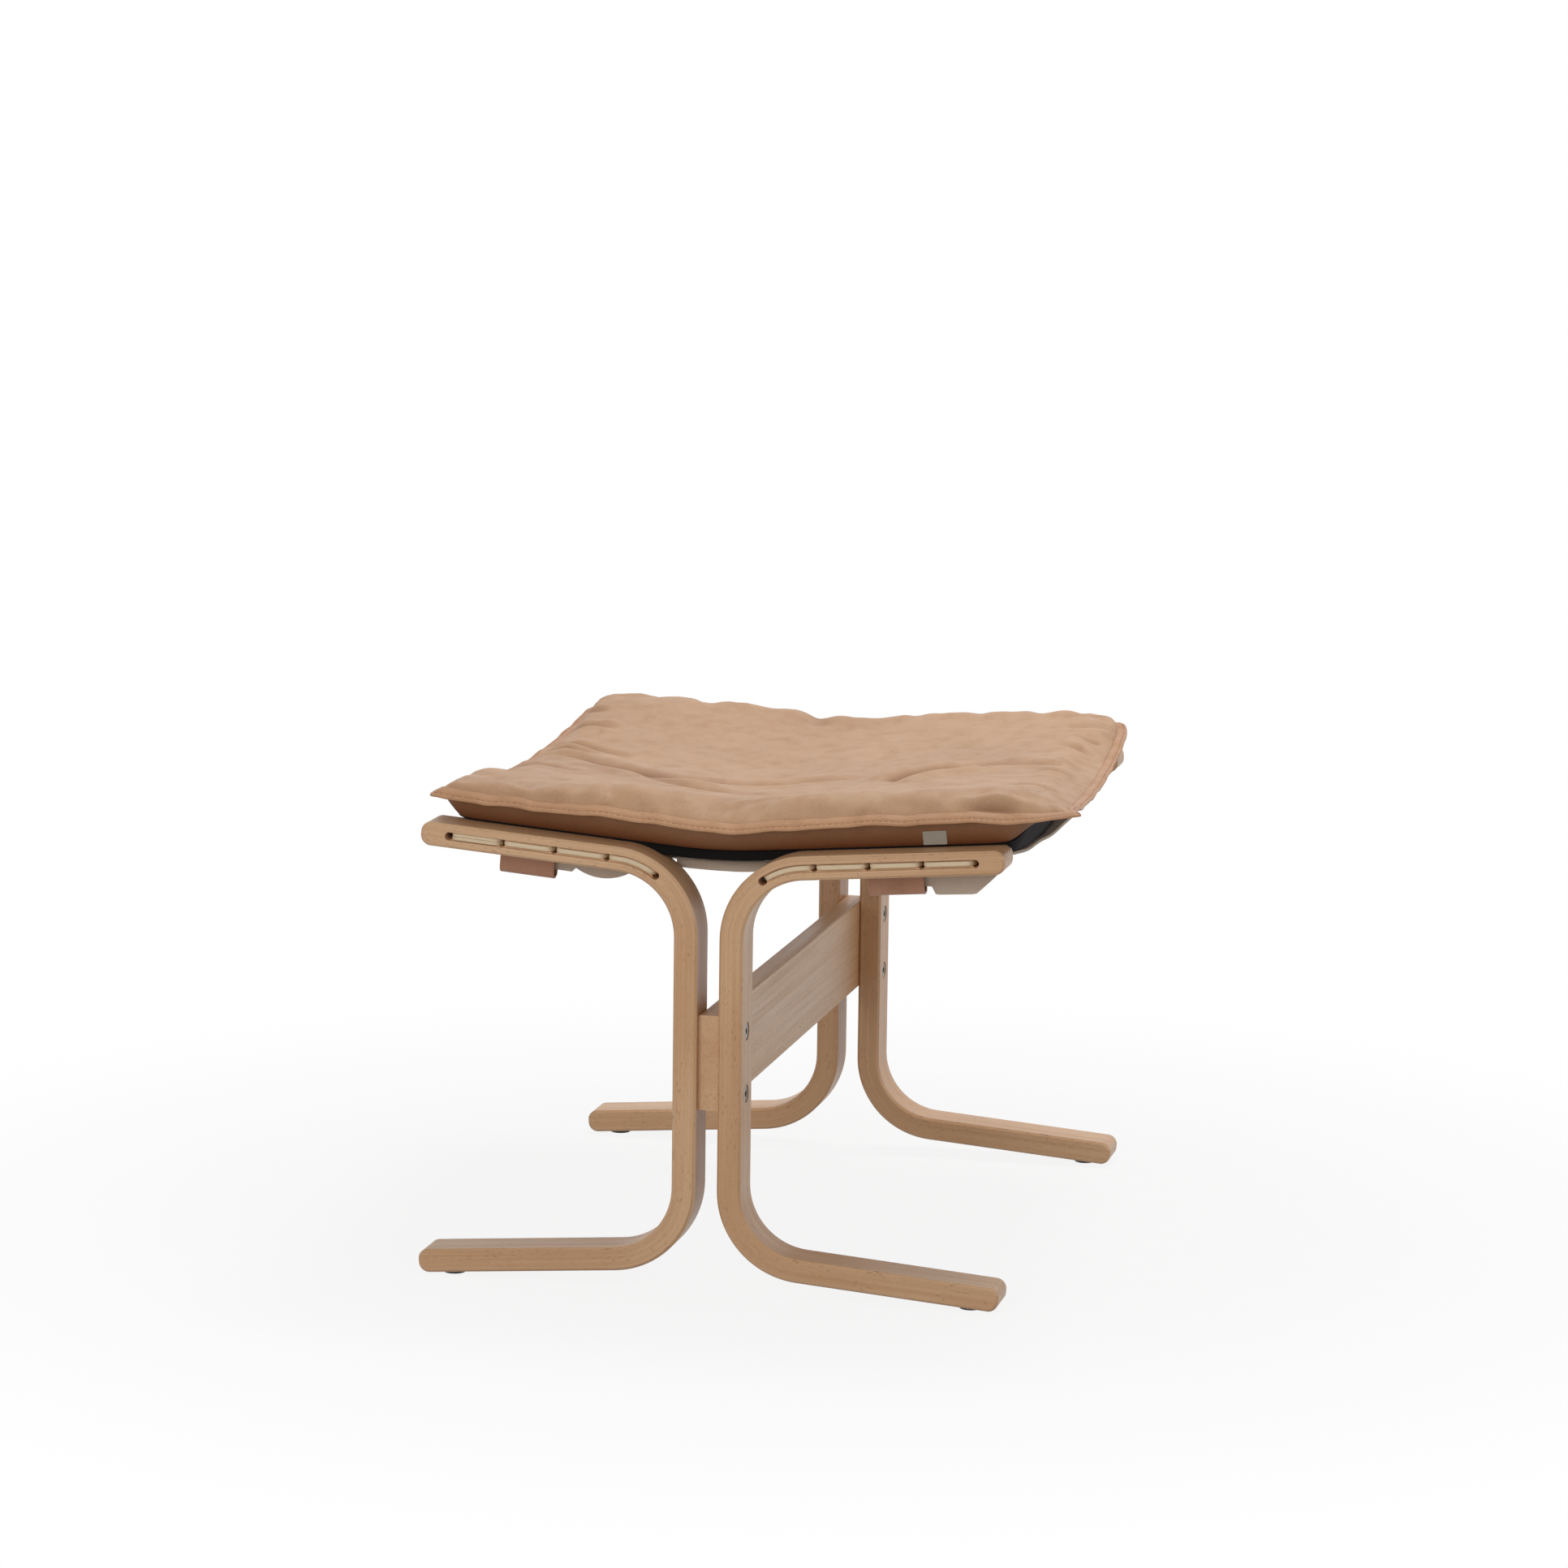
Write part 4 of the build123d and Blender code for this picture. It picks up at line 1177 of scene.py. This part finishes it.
def make_base_cloth():
    """The black cloth that closes the cushion below.

    Its edge turns up over the boxing's foot at the right end and hangs at the near middle.
    """
    lift, turn_up, hang = 0.0003, 0.0022, 0.0076
    step_out, setback, thickness = 0.0012, 0.0006, 0.0006
    piece = add_grid("base_cloth", 64, 72)
    across, along, _ = read_points(piece).T
    x, y = cushion_plan(across, along)
    out_x, out_y = outward(across, along)
    edge = smooth((np.maximum(np.abs(across), np.abs(along)) - 0.955) / 0.045)
    middle = edge * smooth((-along - 0.95) / 0.05) * smooth((0.095 - np.abs(x)) / 0.05)
    right_end = smooth((across - 0.8) / 0.1)
    z = foot_height(across, along) + lift + ear_rise * ear_share(across, along)
    z = z + turn_up * edge * right_end - hang * middle
    out = step_out * np.maximum(middle, edge * right_end) - (sizes().boxing_inset + setback)
    place(piece, x + out * out_x, y + out * out_y, z)
    thicken(piece, thickness)
    cloth = weave_material("Base cloth", "base_cloth", (700.0, 780.0), 0.5, 0.02)
    finish_piece(piece, cloth)
    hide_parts("cushion_base_cloth")


# The canvas: half its length and half a notch along X, then its rows from the flap's edge inwards
canvas_half, notch_half = 0.246, 0.007
flap_rows, wrap_rows, sheet_rows = 8, 8, 24


def flap_drop(x, sign_y):
    """How far the canvas hangs below the rod: little in the middle, in lobes beside the straps."""
    strap_depth, inner_depth, outer_depth = 0.026, 0.0285, 0.0335
    hem, hem_gain = 0.0063, 0.0007
    away = np.abs(x)
    mirrored = x * sign_y
    strap_lobe = smooth((away - 0.120) / 0.012) * smooth((0.190 - away) / 0.012) * strap_depth
    inner = (mirrored < 0) * np.sin(pi * np.clip((away - 0.066) / 0.080, 0, 1)) ** 0.55
    slope = np.clip((0.2535 - away) / 0.034, 0, 1)
    outer = (mirrored > 0) * smooth((away - 0.170) / 0.016) * slope ** 0.85
    lobes = np.maximum(inner_depth * inner, outer_depth * outer)
    hem = hem + hem_gain * smooth((away - 0.050) / 0.012)
    return np.maximum(np.maximum(strap_lobe, lobes), hem)


def canvas_columns():
    """Places of the canvas mesh's columns along X, with the notches' edges among them."""
    step, selvedge = 0.0036, 0.0016
    marks = [-canvas_half, canvas_half]
    for run in hole_runs():
        point, _ = lamination_point(run)
        for side in (-1, 1):
            marks += [side * point.x - notch_half, side * point.x + notch_half]
    marks = sorted(mark for mark in marks if abs(mark) <= canvas_half)
    columns = [marks[0]]
    for start, end in zip(marks, marks[1:]):
        count = max(1, round((end - start) / step))
        columns += [start + (end - start) * (index + 1) / count for index in range(count)]
    return [columns[0] - selvedge] * 2 + columns + [columns[-1] + selvedge] * 2


def canvas_point(x, row, sign_y):
    """Y and Z of a canvas point at x from the middle: flap, wrap round the rod or hanging sheet."""
    middle_reach, rod_gain, middle_drop, sheet_rise = 0.0018, 0.0015, 0.0028, 0.0024
    wave_height, edge_slack, right_slack = 0.0010, 0.13, 0.0050
    fold = float(smooth(np.array((abs(x) - 0.034) / 0.016)))
    reach = middle_reach + rod_gain * fold + sizes().canvas_thickness / 2
    rod_x = min(abs(x), sizes().arm_reach)
    level = arm_axis(rod_x)
    if abs(x) <= valley_reach:
        level = seat_height(x) - (arm_top(rod_x) - level)
    rod_z = float(level) - middle_drop * (1 - fold)
    if row < flap_rows:
        share = 1 - row / flap_rows
        drop = share * float(flap_drop(np.array(x), sign_y))
        sway = 0.0012 * share * sin(x / 0.011) + 0.0022 * share * sin(x / 0.031 + 1.0)
        y, z = -rod_y + reach * max(0.0, 1 - drop / 0.012) + sway, rod_z - drop
    elif row < flap_rows + wrap_rows:
        turn = pi * ((row - flap_rows) / wrap_rows)
        y, z = -rod_y + reach * cos(turn), rod_z + reach * sin(turn)
    else:
        share = (row - flap_rows - wrap_rows) / sheet_rows
        y = sling_edge * (1 - share)
        sag = sizes().canvas_sag * (1 - edge_slack * smooth((abs(x) - 0.2) / 0.046))
        sag -= right_slack * smooth((x - 0.19) / 0.05)
        z = rod_z + sheet_rise * (1 - fold) - 0.0007 * smooth(share * 20)
        z -= sag * (1 - (y / sling_edge) ** 2)
        z -= wave_height * sin(pi * share) * sin(x / 0.02 + 2.2 * y / 0.05) * smooth(share * 6)
    return y * -sign_y, z


def make_canvas():
    """The canvas sling: a hanging sheet, hems notched round the rods, flaps and turned selvedges."""
    columns = canvas_columns()
    half_rows = flap_rows + wrap_rows + sheet_rows
    piece = add_grid("canvas_sling_cloth", len(columns) - 1, 2 * half_rows)
    flat = read_points(piece)
    column = np.rint((flat[:, 0] + 1) / 2 * (len(columns) - 1)).astype(int)
    row = np.rint((flat[:, 1] + 1) * half_rows).astype(int)
    points = np.zeros(flat.shape)
    hem_drop = 0.0018
    for index, (here, there) in enumerate(zip(column, row)):
        sign_y = 1 if there <= half_rows else -1
        steps = there if sign_y == 1 else 2 * half_rows - there
        y, z = canvas_point(columns[here], steps, sign_y)
        if here in (0, len(columns) - 1):
            z -= hem_drop
        points[index] = (columns[here], y, z)
    place(piece, *points.T)
    notch_depth, notch_height = 0.0072, 0.0085
    holes = [lamination_point(run)[0].x for run in hole_runs()]
    cut = []
    for face in piece.data.polygons:
        x = abs(face.center.x - middle_x)
        off_hole = min(abs(x - hole) for hole in holes)
        off_rod = abs(abs(face.center.y) + rod_y)
        off_axis = abs(face.center.z - float(arm_axis(x)))
        if off_hole < notch_half and off_rod < notch_depth and off_axis < notch_height:
            cut.append(face.index)
    edit(piece, cut)
    bpy.ops.mesh.delete(type="FACE")
    stop_edit()
    thicken(piece, sizes().canvas_thickness)
    finish_piece(piece, weave_material("Canvas", "canvas", (560.0, 760.0), 0.6, 0.1), 50)
    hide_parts("canvas_sling")


def span_route(start_run, end_run):
    """The cord between two holes: out of one, along the groove and into the next."""
    groove_floor = frame_front + 0.0036
    surface = groove_floor - sizes().cord_thickness / 2 - cord_clearance
    bend = (
        (0.0012, 0.0135), (0.0015, 0.0090), (0.0021, 0.0052), (0.0033, 0.0022),
        (0.0050, 0.0005), (0.0072, 0.0000),
    )
    route = [(start_run + out, surface + sink) for out, sink in bend]
    steps = 8
    inner_start, inner_end = start_run + bend[-1][0], end_run - bend[-1][0]
    for index in range(1, steps):
        route.append((inner_start + (inner_end - inner_start) * index / steps, surface))
    route += [(end_run - out, surface + sink) for out, sink in reversed(bend)]
    return route


def sweep_cord(name, centres, across, width):
    """Flat cord along centres, with its width across them."""
    centres, across = np.array(centres), np.array(across)
    ups = np.cross(np.gradient(centres, axis=0), across)
    ups /= np.linalg.norm(ups, axis=1, keepdims=True)
    return sweep_piece(name, centres, across, ups, oval_profile(width, sizes().cord_thickness))


def make_span(start_run, end_run, offset, width):
    """One visible stretch of flat cord."""
    centres, across = [], []
    for run, y in span_route(start_run, end_run):
        point, way = lamination_point(run)
        side = Vector((-way.y, way.x))
        centres.append((point.x + side.x * offset, y, point.y + side.y * offset))
        across.append((side.x, 0.0, side.y))
    return sweep_cord("span", centres, across, width)


def make_loop(run):
    """The cord's way from a hole's inner mouth round the hem rod and back."""
    rod_radius, mouth_depth, loop_width = 0.003, 0.004, 0.0036
    mouth_spread, way_share, way_spread = 0.0012, 0.35, 0.0026
    point, _ = lamination_point(run)
    mouth = Vector((arm_inside - mouth_depth, point.y))
    rod = Vector((rod_y, float(arm_axis(point.x))))
    along = (rod - mouth).normalized()
    side = Vector((-along.y, along.x))
    halfway = mouth.lerp(rod, way_share)
    reach = rod_radius + sizes().cord_thickness / 2 + cord_clearance
    route = [mouth + side * mouth_spread, halfway + side * way_spread]
    for index in range(9):
        turn = pi / 2 - pi * index / 8
        route.append(rod + side * reach * sin(turn) + along * reach * cos(turn))
    route += [halfway - side * way_spread, mouth - side * mouth_spread]
    centres = [(point.x, spot.x, spot.y) for spot in route]
    return sweep_cord("loop", centres, [(1.0, 0.0, 0.0)] * len(route), loop_width)


def make_knot(run):
    """The knot that ends the cord on the rod."""
    point, _ = lamination_point(run)
    behind_rod = 0.0052
    deselect()
    bpy.ops.mesh.primitive_torus_add(
        major_segments=16, minor_segments=10, major_radius=0.0012, minor_radius=0.0013,
        location=(point.x + middle_x, rod_y + behind_rod, float(arm_axis(point.x))),
        rotation=(0.0, 1.2, 0.4),
    )
    knot = bpy.context.object
    bpy.ops.object.transform_apply(location=True, rotation=True, scale=True)
    return knot


def make_lacing():
    """The four lacing cords. The near left one lies double between its two outer holes."""
    strand = 0.0031
    runs = hole_runs()
    material = cord_material()
    for side, (sign_x, sign_y) in side_signs.items():
        parts = []
        for start, end in zip(runs, runs[1:]):
            if side == "near_left" and start == runs[0]:
                parts.append(make_span(start, end, strand / 2, strand))
                parts.append(make_span(start, end, -strand / 2, strand))
            else:
                parts.append(make_span(start, end, 0.0, sizes().cord_width))
        parts += [make_loop(run) for run in runs]
        parts += [make_knot(run) for run in (runs[0], runs[-1])]
        piece = join(parts, f"cord_{side}")
        x, y, z = read_points(piece).T
        place(piece, (x - middle_x) * sign_x, y * sign_y, z)
        face_out(piece)
        finish_piece(piece, material)
        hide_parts(f"lacing_{side}")


def make_straps():
    """The leather straps, with softened edges, the near two a little further left."""
    near_shift, edge = 0.009, 0.0005
    material = leather_material("Strap leather", "strap", 1000.0, 0.35)
    for side in side_signs:
        piece = merged_copy(f"strap_{side}", f"leather_strap_{side}")
        if side.startswith("near"):
            points = read_points(piece)
            points[:, 0] -= near_shift
            write_points(piece, points)
        apply_modifier(
            piece, "BEVEL", width=edge, segments=2, limit_method="ANGLE", angle_limit=radians(40)
        )
        finish_piece(piece, material, 35)
        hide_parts(f"strap_{side}")


def make_tab():
    """The small blank tab of woven tape, sewn in under the flange."""
    low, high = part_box("side_tab")
    width, tab_length, thickness = high.x - low.x, 0.015, 0.0007
    side_margin, shift_left = 0.0008, 0.002
    boxing_start, boxing_share = 0.56, 0.46
    lift, flare = 0.0009, 0.0012
    piece = add_grid("woven_tab", 14, 10)
    across, along, _ = read_points(piece).T
    down = (1 - along) / 2
    x = (low.x + high.x) / 2 - middle_x - shift_left + across * (width / 2 - side_margin)
    left, right = -sizes().cushion_left, sizes().cushion_right + sizes().cushion_skew
    share = (2 * x - left - right) / (right - left)
    _, y, z = boxing_point(share, -np.ones(len(x)), boxing_start + boxing_share * down)
    place(piece, x, y - (lift + flare * down**2), z)
    thicken(piece, thickness)
    subdivide(piece, 1)
    finish_piece(piece, weave_material("Woven tab", "tab", (42.0, 30.0), 0.6, 0.1))
    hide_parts("side_tab")


def add_lamp(name, spot, aim, size, power):
    """A large soft lamp that points at a spot of the stool."""
    lamp = bpy.data.lights.new(name, "AREA")
    lamp.shape = "DISK"
    lamp.size = size
    lamp.energy = power
    holder = add_object(name, lamp)
    holder.location = spot
    holder.rotation_euler = (Vector(aim) - Vector(spot)).to_track_quat("-Z", "Y").to_euler()


def seen_rays(tree):
    """One where a ray shows the background itself: to the camera, a gloss or through glass."""
    path = put(tree, "ShaderNodeLightPath").outputs
    seen = calc(tree, "MAXIMUM", path["Is Camera Ray"], path["Is Glossy Ray"])
    return calc(tree, "MAXIMUM", seen, path["Is Transmission Ray"])


def make_world():
    """White to the camera, and a plain soft light for the stool."""
    scene = bpy.context.scene
    scene.world = scene.world or bpy.data.worlds.new("Studio")
    scene.world.use_nodes = True
    tree = scene.world.node_tree
    ambient = 0.27
    strength = calc(tree, "MULTIPLY_ADD", seen_rays(tree), 1 - ambient, ambient)
    fill(tree, tree.nodes["Background"], Color=white, Strength=strength)


def make_floor():
    """A pale floor that reads white and keeps a soft shadow."""
    floor_size, floor_drop = 24.0, 0.0004
    deselect()
    bpy.ops.mesh.primitive_grid_add(x_subdivisions=8, y_subdivisions=8, size=floor_size)
    floor = bpy.context.object
    floor.name = "studio_floor"
    points = read_points(floor)
    points[:, 2] = -floor_drop
    write_points(floor, points)
    material, tree, shader = new_material("Studio floor")
    vector = coordinates(tree)
    speck = grain_noise(tree, vector, 40.0, 3.0)
    base = blend(tree, ramp(tree, speck, 0.3, 0.7), tone("floor"), (0.55, 0.545, 0.54, 1.0))
    fill(tree, shader, Base_Color=base, Roughness=0.9)
    away = put(tree, "ShaderNodeVectorMath", vector, operation="LENGTH").outputs["Value"]
    share = times(tree, ramp(tree, away, 0.3, 1.1, 0.88, 1.0), seen_rays(tree))
    glow = put(tree, "ShaderNodeEmission", white, 1.0)
    mix = put(tree, "ShaderNodeMixShader", share, shader.outputs[0], glow.outputs[0])
    fill(tree, tree.nodes["Material Output"], Surface=mix.outputs[0])
    floor.data.materials.append(material)


def make_stage():
    """Camera, lamps, world and floor."""
    from_frame = Vector((1.05790, -4.62463, 1.16610))
    turn, tip, roll = radians(12.944), radians(9.256), radians(0.719)
    bpy.context.scene.view_settings.view_transform = "Standard"
    camera = bpy.data.cameras.new("Camera")
    camera.sensor_width = 36.0
    camera.lens = 123.81
    holder = add_object("Camera", camera)
    holder.matrix_world = (
        Matrix.Translation(from_frame + Vector((middle_x, 0, 0)))
        @ Matrix.Rotation(turn, 4, "Z") @ Matrix.Rotation(pi / 2 - tip, 4, "X")
        @ Matrix.Rotation(roll, 4, "Z")
    )
    bpy.context.scene.camera = holder
    aim = (0.0, 0.0, 0.30)
    for name, spot, size, power in (
        ("Key", (0.35, 0.75, 2.3), 0.7, 24.5), ("Fill", (-0.7, -3.1, 1.4), 2.0, 37.0),
        ("Side", (2.8, -0.8, 1.1), 1.2, 10.0),
    ):
        add_lamp(name, spot, aim, size, power)
    make_world()
    make_floor()



class StoolMaker:
    """What the operators share."""

    bl_options = {"REGISTER"}
    make = None

    def execute(self, context):
        """Makes the pieces."""
        type(self).make()
        return {"FINISHED"}


class STOOL_OT_frame(StoolMaker, bpy.types.Operator):
    """Dress the bent beech frames and the stretcher"""

    bl_idname = "stool.frame"
    bl_label = "Wooden frame"
    make = staticmethod(make_frame)


class STOOL_OT_fittings(StoolMaker, bpy.types.Operator):
    """Dress the bolts, nuts, studs, rods and glides"""

    bl_idname = "stool.fittings"
    bl_label = "Fittings"
    make = staticmethod(make_fittings)


class STOOL_OT_canvas(StoolMaker, bpy.types.Operator):
    """Model the canvas sling"""

    bl_idname = "stool.canvas"
    bl_label = "Canvas sling"
    make = staticmethod(make_canvas)


class STOOL_OT_lacing(StoolMaker, bpy.types.Operator):
    """Model the lacing cords"""

    bl_idname = "stool.lacing"
    bl_label = "Lacing"
    make = staticmethod(make_lacing)


class STOOL_OT_straps(StoolMaker, bpy.types.Operator):
    """Model the leather straps"""

    bl_idname = "stool.straps"
    bl_label = "Straps"
    make = staticmethod(make_straps)


class STOOL_OT_cushion(StoolMaker, bpy.types.Operator):
    """Model and stuff the leather cushion"""

    bl_idname = "stool.cushion"
    bl_label = "Cushion"
    make = staticmethod(make_cushion)


class STOOL_OT_base_cloth(StoolMaker, bpy.types.Operator):
    """Model the black cloth under the cushion"""

    bl_idname = "stool.base_cloth"
    bl_label = "Base cloth"
    make = staticmethod(make_base_cloth)


class STOOL_OT_flange(StoolMaker, bpy.types.Operator):
    """Model the stitched flange"""

    bl_idname = "stool.flange"
    bl_label = "Seam flange"
    make = staticmethod(make_flange)


class STOOL_OT_tab(StoolMaker, bpy.types.Operator):
    """Model the blank tab"""

    bl_idname = "stool.tab"
    bl_label = "Side tab"
    make = staticmethod(make_tab)


class STOOL_OT_stage(StoolMaker, bpy.types.Operator):
    """Set up the camera, lamps, world and floor"""

    bl_idname = "stool.stage"
    bl_label = "Stage"
    make = staticmethod(make_stage)


steps = (
    STOOL_OT_stage, STOOL_OT_frame, STOOL_OT_fittings, STOOL_OT_canvas, STOOL_OT_lacing,
    STOOL_OT_straps, STOOL_OT_cushion, STOOL_OT_base_cloth, STOOL_OT_flange, STOOL_OT_tab,
)


class STOOL_PT_pieces(bpy.types.Panel):
    """Lists the stool's pieces, sizes and colours"""

    bl_idname = "STOOL_PT_pieces"
    bl_label = "Footstool"
    bl_space_type = "VIEW_3D"
    bl_region_type = "UI"
    bl_category = "Footstool"

    def draw(self, context):
        """Draws the panel."""
        for step in steps:
            self.layout.operator(step.bl_idname)
        for group in (context.scene.stool_sizes, context.scene.stool_colours):
            box = self.layout.box()
            for name in group.__annotations__:
                box.prop(group, name)


classes = (StoolSizes, StoolColours, *steps, STOOL_PT_pieces)


def register():
    """Adds the classes and the scene's settings."""
    for kind in classes:
        bpy.utils.register_class(kind)
    bpy.types.Scene.stool_sizes = bpy.props.PointerProperty(type=StoolSizes)
    bpy.types.Scene.stool_colours = bpy.props.PointerProperty(type=StoolColours)


def unregister():
    """Removes what register added."""
    del bpy.types.Scene.stool_colours
    del bpy.types.Scene.stool_sizes
    for kind in reversed(classes):
        bpy.utils.unregister_class(kind)


def main():
    """Makes every piece in order."""
    register()
    for step in steps:
        family, name = step.bl_idname.split(".")
        getattr(getattr(bpy.ops, family), name)()


if __name__ == "__main__":
    main()
